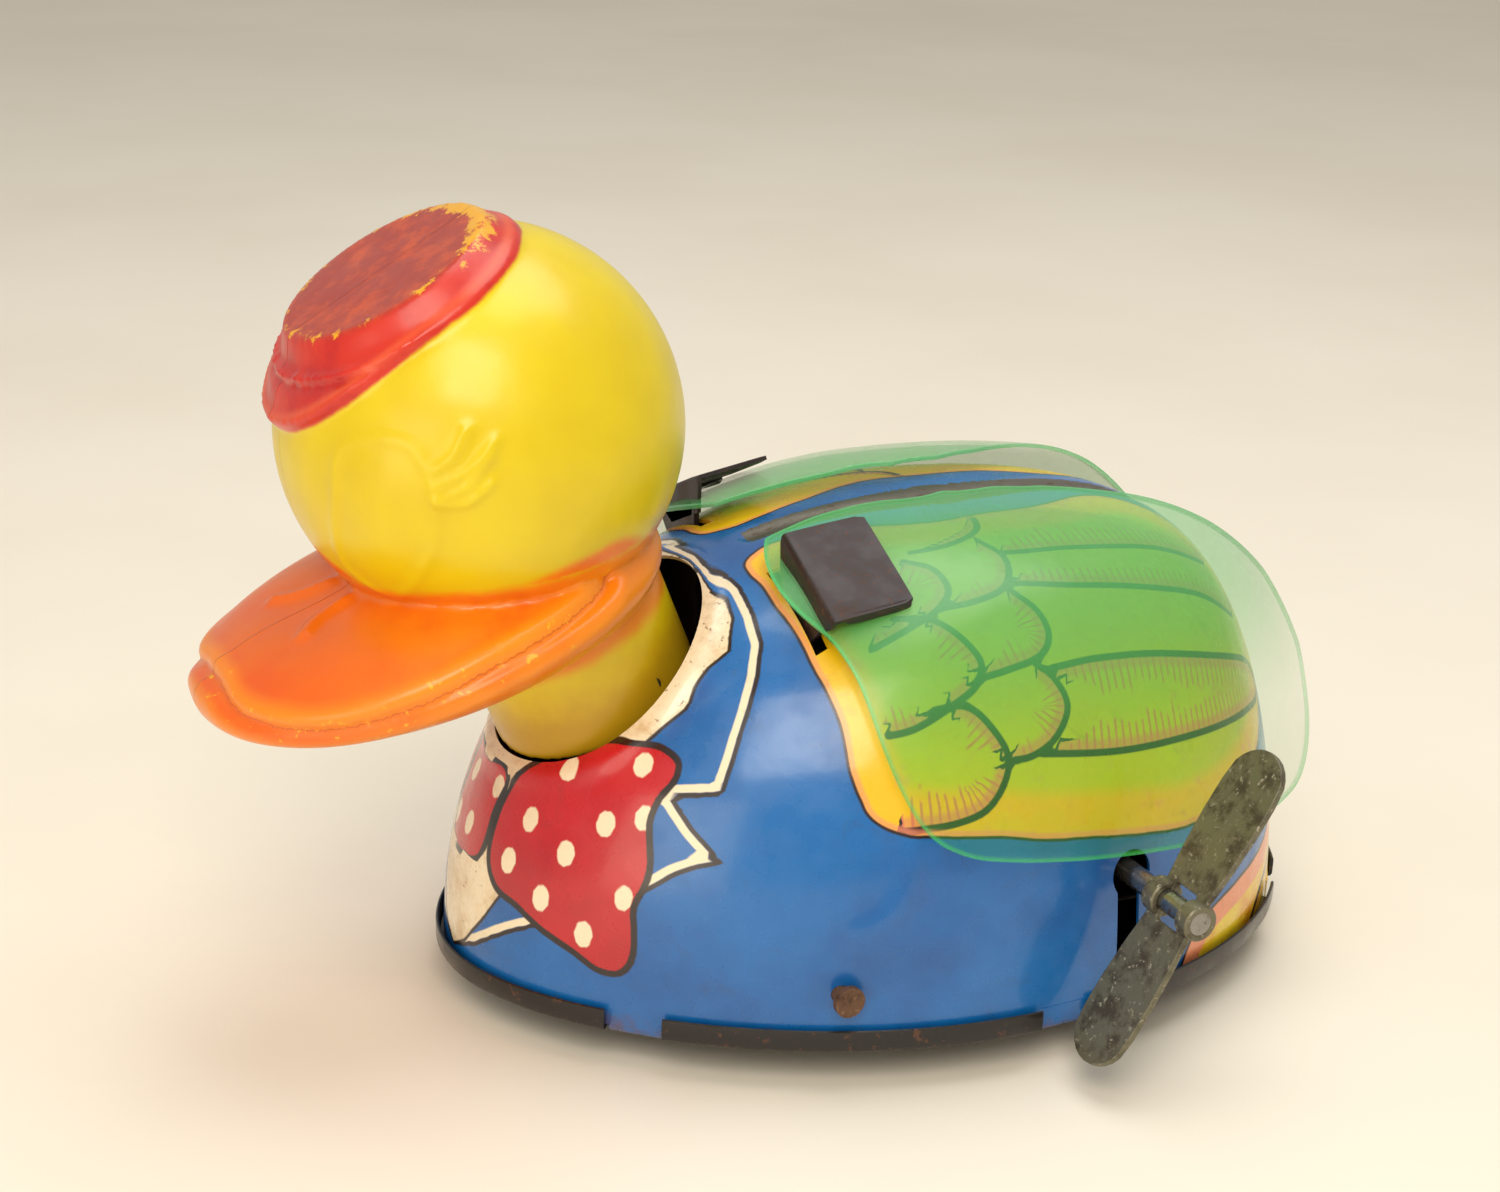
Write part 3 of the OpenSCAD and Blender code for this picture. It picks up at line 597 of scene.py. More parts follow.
def finish_piece(obj, body, nodes):
    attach(obj, body)
    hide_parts(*nodes)
    return obj


# ---------------------------------------------------------------- body: pressed and printed back
RING_STEPS, RING_ROWS = 384, 96

FAR_OFF = 9.0  # what a distance is kept at where nothing is near
# Outlines of the print, as (u, v) control points on the left half.
NECK_RING = [(0, 65.4), (14, 64), (24, 62), (30, 59), (34.5, 54), (33, 51), (33, 48), (34, 45), (31, 40),
             (22, 24), (14, 14), (10, 9), (5, 4.6), (0, 2.6)]
COLLAR = [(0, 67.4), (11, 66.6), (24, 64.6), (34, 60.4), (40, 56), (43, 51), (44.6, 45), (45.3, 39),
          (45.6, 33.6), (38, 32.4), (24, 31), (16, 45), (8, 55), (0, 58)]
LAPEL = [(30, 35), (38.5, 32.4), (43, 28.6), (48.4, 24.6), (45, 23.6), (42, 22), (38, 18.6), (28, 16), (24, 25)]
LOWER_LAPEL = [(0, 2.2), (9, 4.8), (17, 8.8), (26, 12.6), (28, 24), (15, 24), (0, 12)]
PRINTED_WING = [(14, 73.4), (14.6, 70.6), (17, 68.6), (23, 67), (30, 65.4), (38, 62), (43, 59.6), (47, 57),
                (52, 52.6), (56, 48.6), (59.4, 44), (61.6, 39), (64, 34.6), (66, 31.6), (69.4, 29.6), (75, 28.6),
                (83, 27.6), (90, 26), (98, 24.8), (107, 23.2), (115, 22), (128, 22.6), (141, 26), (151, 33),
                (158, 42), (163, 56), (165, 70), (160, 80), (130, 84), (90, 85.4), (40, 82), (22, 78)]
FEATHERS = [
    [(72, 64), (79, 65), (86, 67), (89.4, 71), (89.4, 75), (84, 79)],
    [(60, 56.5), (66, 60.5), (71, 64), (72.6, 68), (68, 72.4), (59, 74)],
    [(60, 76), (72, 78), (85, 81), (90, 83), (93, 86)],
    [(66, 43), (70, 44), (75, 47), (79, 50), (79.6, 54), (75, 59), (69, 62), (62, 62)],
    [(79, 51), (85, 52), (91, 53.4), (93.4, 57), (92, 62), (87, 67)],
    [(70, 29.6), (77, 30), (82, 32), (84.4, 38), (81, 44), (77, 47), (72, 46.6)],
    [(84, 38), (88, 38), (92, 40), (94.6, 44.4), (93, 49), (90, 52)],
    [(90, 38), (103, 36), (118, 34.6), (137, 32.6), (147, 31.6), (150.6, 33), (145, 39), (119, 48), (103, 51),
     (92, 51)],
    [(88, 68), (99, 66), (117, 62), (136, 55), (149, 46)],
    [(90, 75), (112, 73), (135, 67), (152, 57)],
]
TAIL_PRINT = [(112, -3), (113.4, 1), (117, 6.4), (125, 9), (138, 10.6), (148, 12.6), (158, 16), (168, 22),
              (176, 30), (181, 38)]
TAIL_LINES = [[(133, 0), (138, 4), (146, 7), (156, 8.6)], [(152, 0), (156, 5), (164, 10), (173, 14)],
              [(180, 0), (180, 20)]]
LOOP = [(8, 17.6), (12, 14), (18, 12.6), (24, 10.6), (30, 8.8), (34, 7.2), (37.6, 7.4), (39.2, 10), (38.8, 14),
        (38.2, 17), (39, 20), (39, 23), (38, 26), (37, 29), (37.2, 32), (38.4, 34.6), (37.6, 37.4), (34, 39),
        (30, 39.2), (25, 38.8), (20, 37), (15, 34.6), (11, 32), (8, 28.6), (7, 24)]
KNOT = [(6.6, 24), (7.4, 28.4), (4, 30.2), (-3.5, 29.4), (-11, 30.2), (-14.4, 28.4), (-13.6, 24), (-13.6, 20),
        (-11, 15.6), (-3.5, 14.6), (5, 15.6), (7, 19)]
BOW_MIDDLE = -3.5
DOT_R = (1.75, 1.3)
LOOP_DOTS = [(20, 33), (32, 36), (16, 24.8), (30, 27.2), (25, 22), (14, 18.4), (36, 18), (31, 12), (35.6, 29),
             (22.6, 15.2)]
KNOT_DOTS = [(4.4, 26.6), (-8, 25.4), (-1.6, 19.4), (-10.4, 18.4)]


def on_back(points, steps=6, closed=True):
    """An outline both as (u, v) and as places on the back."""
    uv = curve_through(points, steps, closed)
    return uv, back_point(uv[:, 0], uv[:, 1])


def area(uv, places, outline, steps=6):
    """Signed distance in millimetres to a closed outline on the back, negative inside it."""
    ring_uv, ring = on_back(outline, steps)
    away, _ = to_line(places, ring)
    return np.where(inside(uv, ring_uv), -away, away)


def both_halves(outline):
    return [(-u, v) for u, v in outline[::-1] if u > 0] + outline


def feather_values(left, half):
    """Distances to the feather lines, signed and plain, how far along them, and how clearly one is nearest."""
    best, along, every = np.full(len(half), FAR_OFF), np.zeros(len(half)), []
    for k, feather in enumerate(FEATHERS):
        line_uv, line = on_back(feather, 6, closed=False)
        away, far = to_line(half, line)
        lie = inside(left, np.vstack([line_uv, line_uv[:1]]))
        if k >= len(FEATHERS) - 2:  # the two long straight lines shade what lies above them
            lie = left[:, 1] > np.interp(left[:, 0], line_uv[:, 0], line_uv[:, 1])
        near = away < np.abs(best)
        best[near] = np.where(lie, away, -away)[near]
        along[near] = far[near]
        every.append(away)
    nearest = np.sort(every, axis=0)
    return {"feather": best, "feather_along": along, "feather_edge": nearest[0],
            "feather_share": nearest[1] - nearest[0]}


def printed_values(places):
    uv, depth = surface_uv(places)
    places = back_point(uv[:, 0], uv[:, 1])
    left, half = uv.copy(), halved(places)
    left[:, 0] = np.abs(left[:, 0])
    values = feather_values(left, half)
    values["shirt"] = area(left, half, both_halves(NECK_RING), 1)
    values["collar"] = np.minimum(
        np.minimum(area(left, half, both_halves(COLLAR), 1), area(left, half, LAPEL, 1)),
        area(left, half, LOWER_LAPEL, 1))
    wing = area(left, half, PRINTED_WING, 4)
    spine = np.where(places[:, 2] > 30, 3.4 - half[:, 1], -50.0)
    values["wing"] = np.maximum(wing, spine)
    values["tail"] = area(left, half, TAIL_PRINT + [(181, -3)], 3)
    lines = [to_line(half, on_back(line, 6, closed=False)[1])[0] for line in TAIL_LINES]
    values["tail_line"] = np.minimum(np.min(lines, axis=0), FAR_OFF)
    other = uv.copy()
    other[:, 0] = 2 * BOW_MIDDLE - other[:, 0]
    turned = back_point(other[:, 0], np.clip(other[:, 1], 0, 89.9))
    loops = np.minimum(area(uv, places, LOOP, 5), area(other, turned, LOOP, 5))
    knot = area(uv, places, KNOT, 5)
    # the knot lies over the loops, so its own outline shows
    values["bow"] = np.where(knot < 0.1, knot, np.maximum(loops, -knot))
    dots = np.full(len(places), FAR_OFF)
    for spots, where in ((LOOP_DOTS, places), (LOOP_DOTS, turned), (KNOT_DOTS, places)):
        for spot in spots:
            centre = back_point(*np.array(spot, float)[:, None])[0]
            gap = (where - centre) / np.array([DOT_R[1], DOT_R[1], DOT_R[0]])
            dots = np.minimum(dots, (np.sqrt((gap**2).sum(1)) - 1) * DOT_R[1])
    values["dots"] = dots
    return values, depth


def pressed_relief(places):
    """How far the press raises the tin: a bead round the neck, a crease along the back, side ribs."""
    gap = places - NECK_MIDDLE
    off = gap - (gap @ NECK_AXIS)[:, None] * NECK_AXIS
    ring = np.sqrt((off**2).sum(1))
    high = 0.55 * np.exp(-((ring - OPENING_R - 1.4) / 1.1) ** 2) * (gap @ NECK_AXIS > -14)
    rib = on_back([(71.5, 29), (72, 22), (69.6, 17.6), (66, 15.6)], 8, closed=False)[1]
    high += 0.45 * np.exp(-(to_line(halved(places), rib)[0] / 1.2) ** 2)
    crease = np.where(places[:, 0] < 22, np.exp(-(places[:, 1] / 1.6) ** 2), 0) * (places[:, 2] > 40)
    return high - 0.5 * crease


def pressed_back():
    rows = 90 * (1 - (1 - np.linspace(0, 1, RING_ROWS + 1)[:-1]) ** 1.45)
    turn = np.arange(RING_STEPS) * 360 / RING_STEPS
    skins = []
    for out in (0.0, -TIN):
        points = np.concatenate([back_point(turn, np.full(RING_STEPS, v), out) for v in rows])
        lift = pressed_relief(points)
        grid = points.reshape(RING_ROWS, RING_STEPS, 3)
        normal = np.cross(np.roll(grid, -1, 1) - np.roll(grid, 1, 1), np.gradient(grid, axis=0))
        normal /= np.maximum(np.linalg.norm(normal, axis=-1, keepdims=True), 1e-9)
        points = points + normal.reshape(-1, 3) * lift[:, None]
        skins.append(np.vstack([points, [[-SADDLE, 0, BACK + out - 0.5]]]))
    count = len(skins[0])
    faces = grid_faces(RING_ROWS, RING_STEPS, closed=True).tolist()
    last = (RING_ROWS - 1) * RING_STEPS
    faces += [[last + j, last + (j + 1) % RING_STEPS, count - 1] for j in range(RING_STEPS)]
    inner = [[k + count for k in face[::-1]] for face in faces]
    sill = [[(j + 1) % RING_STEPS, j, count + j, count + (j + 1) % RING_STEPS] for j in range(RING_STEPS)]
    shell = mesh_object("printed_back", np.vstack(skins), faces + inner + sill, [PRINTED, BY_SLOT["plated_tin"]])
    opening = rod_cutter((0, 0), -14, 28, OPENING_R, 128)
    opening.data.transform(NECK_FRAME @ Matrix.Rotation(math.radians(90), 4, "X"))
    x, z = SHAFT_AT
    cutters = [
        opening, rod_cutter(SHAFT_AT, 30, 30, 3.1), box_cutter((x - 1.2, 38, -4), (x + 2.4, 50, z)),
        rod_cutter(FRONT_AXLE_AT, -60, 120, FRONT_AXLE_R),
        box_cutter((21.7, 10, 44), (23.5, 24.5, 60)), box_cutter((21.7, -24.5, 44), (23.5, -10, 60)),
    ]
    cut(shell, cutters)
    places = coordinates(shell)
    values, depth = printed_values(places)
    keep_point_values(shell, values)
    faces = shell.data.polygons
    inner = [all(depth[k] < 0.988 for k in face.vertices) for face in faces]
    faces.foreach_set("material_index", [int(k) for k in inner])
    return smooth(shell, 45)


def tabs():
    """The six tabs of the back, bent in under the base."""
    parts = []
    for u in TAB_ANGLES:
        foot, along = plan_place(u)
        along /= np.hypot(*along)
        out = np.array([along[1], -along[0]])
        # profile (outwards, up) of the bent strip, then its width
        profile = [(0.08, 3.4), (0.08, 1.1), (0.0, 0.55), (-0.35, 0.2), (-0.9, 0.12), (-3.4, 0.12),
                   (-3.4, 0.55), (-1.0, 0.55), (-0.5, 0.7), (-0.4, 1.1), (-0.4, 3.4)]
        points, across = [], (-3.5, -3.2, 3.2, 3.5)
        for k, s in enumerate(across):
            pinch = 0.12 if k in (0, 3) else 0.0
            for o, h in profile:
                xy = foot + along * s + out * (o - 0.04 - pinch * (1 if o > -0.2 else 0))
                points.append((xy[0], xy[1], h))
        n = len(profile)
        faces = [[k * n + m, (k + 1) * n + m, (k + 1) * n + (m + 1) % n, k * n + (m + 1) % n]
                 for k in range(len(across) - 1) for m in range(n)]
        faces += [list(range(n)), [3 * n + m for m in range(n)][::-1]]
        parts.append(mesh_object(f"tab_{u}", points, faces, [PRINTED]))
    made = joined("tabs", parts)
    places = coordinates(made)
    keep_point_values(made, printed_values(np.maximum(places, [-99, -99, SILL]))[0])
    return smooth(made, 50)


# ---------------------------------------------------------------- base pan with its upturned rim
def base_pan():
    turn = np.radians(np.arange(0, 360, 1.5))
    # (grow, z) of the section, from the middle of the pan out and back
    outer = [(-9.4, 0.0), (-8.4, 0.0), (-8.05, 0.2), (-7.9, 0.6), (-7.5, 0.62), (0.4, 0.62), (0.85, 0.75),
             (1.08, 1.15), (1.1, 3.1), (1.04, 3.46), (0.85, 3.6), (0.66, 3.46), (0.6, 3.1), (0.6, 1.35), (0.45, 1.12),
             (0.1, 1.08), (-7.7, 1.08), (-8.3, 1.0), (-8.5, 0.52), (-9.4, 0.5)]
    rings = np.array([np.stack([plan_x(turn, g), plan_y(turn, g), np.full(len(turn), z)], -1) for g, z in outer])
    count = len(turn)
    faces = grid_faces(len(outer), count, closed=True)[:, ::-1].tolist()
    faces += [list(range(count)), [(len(outer) - 1) * count + k for k in range(count)][::-1]]
    pan = mesh_object("base_pan", rings.reshape(-1, 3), faces, [BY_SLOT["black_tin"]])
    cutters = []
    for u in TAB_ANGLES:
        foot, along = plan_place(u)
        heading = Matrix.Rotation(math.atan2(along[1], along[0]), 4, "Z")
        place = Matrix.Translation((float(foot[0]) * MM, float(foot[1]) * MM, 0)) @ heading
        cutters.append(box_cutter((-3.8, -4, -1), (3.8, 5, 9), place))
    # a window for each wheel: its middle, radius, inner face and width
    for (x, z), r, y, width in (((-30, 5.6), 10.1, 15.5, 2.5), (FRONT_AXLE_AT, 12.8, 17, 3)):
        reach = math.sqrt(r * r - z * z) + 1.5
        for side in (1, -1):
            a, b = sorted((side * (y - 0.8), side * (y + width + 0.8)))
            cutters.append(box_cutter((x - reach, a, -1), (x + reach, b, 3)))
    return smooth(cut(pan, cutters), 35)


# ---------------------------------------------------------------- moulded head
CAP_AXIS = np.array([math.sin(math.radians(31)), 0, math.cos(math.radians(31))])
CROWN_R, CROWN_RISE, BAND = 13.3, 23.4, 11.0
CROWN_EDGE = 29.6
BILL_AT, BILL_TILT, BILL_SIZE = np.array([7.0, 0, -23.3]), 16.0, np.array([30.5, 25.3, 8.5])
# The line between the lips, the edge of the orange paint and the reliefs, on the left half (x, y, z).
LIP_LINE = [(43, 19, 62.6), (44.7, 21.3, 61), (46.8, 22.2, 58.6), (55.3, 24.5, 55.1), (65.2, 24.9, 51.5),
            (74.2, 23.2, 47.6), (83.8, 18.8, 44.3), (91.9, 10.7, 43.9), (94.4, 4.7, 45.1), (95, 0, 45.4)]
PAINT_TOP = [(79.8, 0, 60.2), (78.1, 5.9, 58.6), (74.6, 8.6, 55.6), (70.4, 12, 54.6), (64.6, 17.9, 57),
             (58.9, 21.2, 60.4), (51.2, 21.7, 63.5), (46.9, 19.8, 64), (42, 17, 61.4)]
PAINT_UNDER = [(44, 21, 57.6), (50.3, 23.4, 54), (57.3, 24.2, 49.6), (60, 20, 45), (64, 14, 44), (67, 6, 43.4),
               (68, 0, 43)]
EYE = [(80.3, 12.6, 75), (80.4, 11.8, 70), (79, 8.7, 62), (77.3, 8.3, 59.4), (73, 11.4, 57), (71.4, 18.3, 62.5),
       (71.1, 21.3, 69), (72.1, 21.2, 75), (74.2, 19.3, 78), (78.7, 14.6, 77.4)]
LASHES = [[(71.3, 21.7, 75), (69.2, 22.4, 76.6), (67.7, 22.7, 79.8)],
          [(71.4, 21.6, 73), (67.8, 23, 75), (64.6, 24, 78.5)],
          [(71.3, 21.5, 71.6), (68, 23, 73), (65.2, 24.1, 76.8)],
          [(70.9, 21.7, 71), (68, 23.3, 71.2), (65.3, 24.3, 73.6)]]
NOSTRIL = [(84, 5.4, 58), (86.6, 6.2, 54.6), (87, 8, 52.4)]
HEAD_STEPS = 320
NECK_TO, NECK_R = np.array([45, 0, 41.5]), 13.6


def tip_down(d, angle):
    c, s = math.cos(math.radians(angle)), math.sin(math.radians(angle))
    return np.stack([d[..., 0] * c - d[..., 2] * s, d[..., 1], d[..., 0] * s + d[..., 2] * c], -1)


def softer_max(a, b, width):
    k = np.clip(0.5 + (a - b) / (2 * width), 0, 1)
    return b + (a - b) * k + width * k * (1 - k)


def head_reach(d, inset):
    """Distance from the middle of the ball to the skin, along directions d."""
    angle = np.degrees(np.arccos(np.clip(d @ CAP_AXIS, -1, 1)))
    edge = math.degrees(math.atan2(CROWN_R, CROWN_RISE))
    top = (CROWN_RISE - inset) / np.cos(np.radians(np.minimum(angle, edge)))
    band = math.hypot(CROWN_R, CROWN_RISE) - (angle - edge) / BAND * 2
    ball = np.where(angle < edge, top, np.maximum(HEAD_R, band) - inset)
    to = NECK_TO - HEAD_AT
    down = d @ (to / np.linalg.norm(to))
    side = np.sqrt(np.maximum(1 - down * down, 1e-4))
    neck = np.minimum((np.linalg.norm(to) + 7 + 4 * inset) / np.maximum(down, 0.2), (NECK_R - inset) / side)
    neck = np.where(down <= 0.2, 0, neck)
    return softer_max(ball, neck, 1.0)


def line_distance(half, line, steps=6, closed=False):
    """Distance to a line once it is laid on the skin of the head."""
    path = curve_through(line, steps, closed) - HEAD_AT
    d = path / np.linalg.norm(path, axis=1, keepdims=True)
    return to_line(half, HEAD_AT + d * head_reach(d, 0)[:, None])[0]


def bearing(places):
    """Direction from the middle of the ball as (turn, climb) in degrees."""
    rel = places - HEAD_AT
    return np.stack([np.degrees(np.arctan2(rel[:, 1], rel[:, 0])),
                     np.degrees(np.arctan2(rel[:, 2], np.hypot(rel[:, 0], rel[:, 1])))], -1)


def bill_frame(places):
    """Places in the bill's own frame: x to its tip, z up, the middle of the oval at the origin."""
    return tip_down(places - HEAD_AT - BILL_AT, BILL_TILT)


def on_bill(line):
    local = bill_frame(curve_through(line, 6)) / BILL_SIZE
    return local / np.linalg.norm(local, axis=1, keepdims=True) * BILL_SIZE


def signed_lip(local):
    """Distance to the line between the lips, negative below it."""
    line = on_bill(LIP_LINE)
    turn, line_turn = (np.arctan2(p[:, 1], p[:, 0]) for p in (local, line))
    order = np.argsort(line_turn)
    level = np.interp(turn, line_turn[order], line[order, 2])
    return to_line(local, line)[0] * np.where(local[:, 2] < level, -1, 1)


def cap_angles(places):
    rel = places - HEAD_AT
    along = rel @ CAP_AXIS
    off = rel - along[:, None] * CAP_AXIS
    front = np.array([CAP_AXIS[2], 0, -CAP_AXIS[0]])
    radius = np.linalg.norm(off, axis=1)
    return np.degrees(np.arctan2(radius, along)), (off @ front) / np.maximum(radius, 1e-6)


def cap_limit(forward):
    """Where the cap's paint ends, as an angle from its axis: the visor reaches down in front."""
    return 40.6 + 13.5 * np.clip(forward, 0, 1) ** 2.2


def head_relief(places):
    """Cap, closed eye and lashes on the ball."""
    half = halved(places)
    angle, forward = cap_angles(places)
    edge = cap_limit(forward)
    visor = np.clip(forward * 1.5, 0, 1)
    high = 0.55 * np.exp(-((angle - 38.6) / 1.8) ** 2) * (1 - 0.5 * np.clip(forward, 0, 1))
    high += np.where(angle > 38, 1.0 * np.clip((edge - angle) / 1.4, 0, 1), 0) * visor
    high += 0.5 * np.exp(-((angle - edge + 2.6) / 1.3) ** 2) * visor
    high -= 0.7 * np.exp(-((angle - 41.2) / 1.3) ** 2) * visor
    eye = line_distance(half, EYE, 5, closed=True)
    high += 0.32 * np.exp(-(eye / 0.6) ** 2)
    ring, look = bearing(curve_through(EYE, 5, True)), bearing(half)
    high += np.where(inside(look, ring), 0.45 * np.clip(eye / 7, 0, 1), 0)
    for lash in LASHES:
        high += 0.6 * np.exp(-(line_distance(half, lash) / 0.5) ** 2)
    return high


def bill_relief(local):
    lip = signed_lip(local)
    high = -0.8 * np.exp(-(lip / 0.7) ** 2) + 0.5 * np.exp(-((lip - 1.8) / 1.2) ** 2)
    high += 0.4 * np.exp(-((lip + 2.4) / 1.5) ** 2)
    high *= np.clip((local[:, 0] + 26) / 8, 0, 1)
    top = local[:, 2] > 2
    high += 0.8 * np.exp(-(to_line(local, on_bill(NOSTRIL))[0] / 0.9) ** 2) * top
    high -= 1.1 * np.exp(-((local[:, 0] - 12) / 8) ** 2 - (local[:, 1] / 11) ** 2) * top
    return high


def moulded_bill():
    climb, turn = np.radians(np.linspace(90, -90, 122)[1:-1]), np.arange(300) * 2 * np.pi / 300
    v, u = np.meshgrid(climb, turn, indexing="ij")
    local = np.stack([np.cos(v) * np.cos(u), np.cos(v) * np.sin(u), np.sin(v)], -1).reshape(-1, 3)
    local = np.vstack([local, [[0, 0, 1], [0, 0, -1]]])
    outward = local / BILL_SIZE
    outward /= np.linalg.norm(outward, axis=1, keepdims=True)
    local = local * BILL_SIZE
    local = local + outward * bill_relief(halved(local))[:, None]
    world = tip_down(local, -BILL_TILT) + HEAD_AT + BILL_AT
    return mesh_object("bill", world, ball_faces(len(climb), len(turn)), [HEAD_LOOK])


def moulded_head():
    climb = np.linspace(0, np.pi, 201)[1:-1]
    turn = np.arange(HEAD_STEPS) * 2 * np.pi / HEAD_STEPS
    b, a = np.meshgrid(climb, turn, indexing="ij")
    d = np.stack([np.sin(b) * np.cos(a), np.sin(b) * np.sin(a), np.cos(b)], -1).reshape(-1, 3)
    d = np.vstack([d, [[0, 0, 1], [0, 0, -1]]])
    skin = HEAD_AT + d * head_reach(d, 0)[:, None]
    grid = skin[:-2].reshape(len(climb), HEAD_STEPS, 3)
    normal = np.cross(np.gradient(grid, axis=0), np.roll(grid, -1, 1) - np.roll(grid, 1, 1))
    normal = np.vstack([normal.reshape(-1, 3), [[0, 0, 1], [0, 0, -1]]])
    normal /= np.maximum(np.linalg.norm(normal, axis=1, keepdims=True), 1e-9)
    faces = ball_faces(len(climb), HEAD_STEPS)
    head = mesh_object("duck_head", skin + normal * head_relief(skin)[:, None], faces, [HEAD_LOOK])
    head = joined("duck_head", [head, moulded_bill()])
    even = head.modifiers.new("even", "REMESH")
    even.mode, even.voxel_size = "VOXEL", 0.45 * MM
    soft = head.modifiers.new("soft", "SMOOTH")
    soft.factor, soft.iterations = 0.5, 3
    applied(head)
    hollow = closed_cutter(HEAD_AT + d * head_reach(d, HEAD_WALL)[:, None], faces)
    below = box_cutter((-40, -40, -29), (40, 40, -5), NECK_FRAME)
    cut(head, [hollow, below])
    real = coordinates(head)
    away = real - HEAD_AT
    away /= np.linalg.norm(away, axis=1, keepdims=True)
    places = HEAD_AT + away * head_reach(away, 0)[:, None]
    half, look = halved(places), bearing(halved(places))
    outline = np.vstack([bearing(curve_through(PAINT_TOP, 6)), bearing(curve_through(PAINT_UNDER, 6))])
    outline = np.vstack([outline, outline[:1]])
    edge = np.minimum(line_distance(half, PAINT_TOP), line_distance(half, PAINT_UNDER))
    cheek = np.where(inside(look, outline), -edge, edge)
    local = bill_frame(halved(real))
    swell = (np.linalg.norm(local / BILL_SIZE, axis=1) - 1) * 10 - 2.6
    angle, forward = cap_angles(places)
    keep_point_values(head, {
        "bill": np.where(swell < 0, swell, np.minimum(cheek, swell)),
        "lip": np.where(swell < 2, signed_lip(local), FAR_OFF),
        "cap": (angle - cap_limit(forward)) * math.radians(HEAD_R),
        "crown": (angle - CROWN_EDGE) * math.radians(HEAD_R),
        "neck": (places - NECK_MIDDLE) @ NECK_AXIS,
    })
    return smooth(head, 50)


# ---------------------------------------------------------------- wings of thin green sheet
# Its lower and upper edges: degrees round the plan, and hundredths of the climb from the sill to the ridge.
WING_LOW = [(21, 79), (40, 69), (56, 61), (64, 50), (70, 35), (76, 29), (90, 26), (120, 22), (140, 23), (151, 31),
            (157, 52)]
WING_HIGH = [(21, 80), (24, 88), (34, 92.5), (70, 97), (115, 96.5), (135, 93), (149, 80), (157, 53)]
WING_FROM, WING_TO, WING_GAP, WING_THICK, WING_FLARE = 21, 157, 3, 0.6, 5
WING_STEPS, WING_ROWS = 220, 70


def soft_lookup(u, table):
    """The table's value at u, with its corners rounded a little."""
    xs, ys = np.array(table, float).T
    spread = np.linspace(-5, 5, 15)
    room = np.minimum(1, np.minimum(u - WING_FROM, WING_TO - u) / 6.0)
    return np.interp(np.clip(u[:, None] + spread * room[:, None], WING_FROM, WING_TO), xs, ys).mean(1)


def wing(side):
    t = np.linspace(0, 1, WING_STEPS + 1)
    u = WING_FROM + (WING_TO - WING_FROM) * (t - 0.035 * np.sin(2 * np.pi * t))
    low, high = soft_lookup(u, WING_LOW), soft_lookup(u, WING_HIGH)
    s = np.linspace(0, 1, WING_ROWS + 1)
    v = (low[:, None] + (high - low)[:, None] * s) * 0.9
    uu = np.repeat(u[:, None], WING_ROWS + 1, 1)
    flare = np.where(uu > 90, WING_FLARE * np.cos(np.radians(uu)) ** 2, 0)
    flare = flare * np.minimum(1, 1.5 * np.cos(np.radians(v)) ** 2)
    top, under = (back_point(uu, v, WING_GAP + out + flare, 0.0) for out in (0.0, -WING_THICK))
    rows, columns = WING_STEPS + 1, WING_ROWS + 1
    rim = np.concatenate([top[:, 0], top[-1], top[::-1, -1], top[0, ::-1]])
    flat_top, flat_under = top.reshape(-1, 3), under.reshape(-1, 3)
    edge = to_line(flat_top, np.vstack([rim, rim[:1]]))[0]
    # the cut edge is a little rounded
    ease = 0.18 * np.clip(1 - edge / 0.5, 0, 1)[:, None]
    middle = (flat_top + flat_under) / 2
    points = np.vstack([flat_top + (middle - flat_top) * ease, flat_under + (middle - flat_under) * ease])
    count = rows * columns
    faces = grid_faces(rows, columns)[:, ::-1]
    border = [k * columns for k in range(rows)] + [(rows - 1) * columns + j for j in range(1, columns)]
    border += [k * columns + columns - 1 for k in range(rows - 2, -1, -1)] + list(range(columns - 2, 0, -1))
    walls = [[a, b, b + count, a + count] for a, b in zip(border, border[1:] + border[:1])]
    points[:, 1] *= side
    body = np.vstack([faces, faces[:, ::-1] + count]).tolist() + [f[::-1] for f in walls]
    if side < 0:
        body = [f[::-1] for f in body]
    obj = mesh_object(f"wing_sheet_{SIDES[side]}", points, body, [GREEN])
    keep_point_values(obj, {"edge": np.tile(edge, 2)})
    return smooth(obj, 50)


# ---------------------------------------------------------------- wing clips and their levers
PLATE_FRONT, PLATE_PITCH, PIVOT_AT = 23.0, 0.16, (9, 34)


def rounded(width, depth, radius, steps):
    """Outline of a rectangle with round corners."""
    out = []
    for cx, cy, start in ((1, 1, 0), (-1, 1, 90), (-1, -1, 180), (1, -1, 270)):
        for k in range(steps + 1):
            a = math.radians(start + 90 * k / steps)
            out.append((cx * (width / 2 - radius) + radius * math.cos(a),
                        cy * (depth / 2 - radius) + radius * math.sin(a)))
    return out


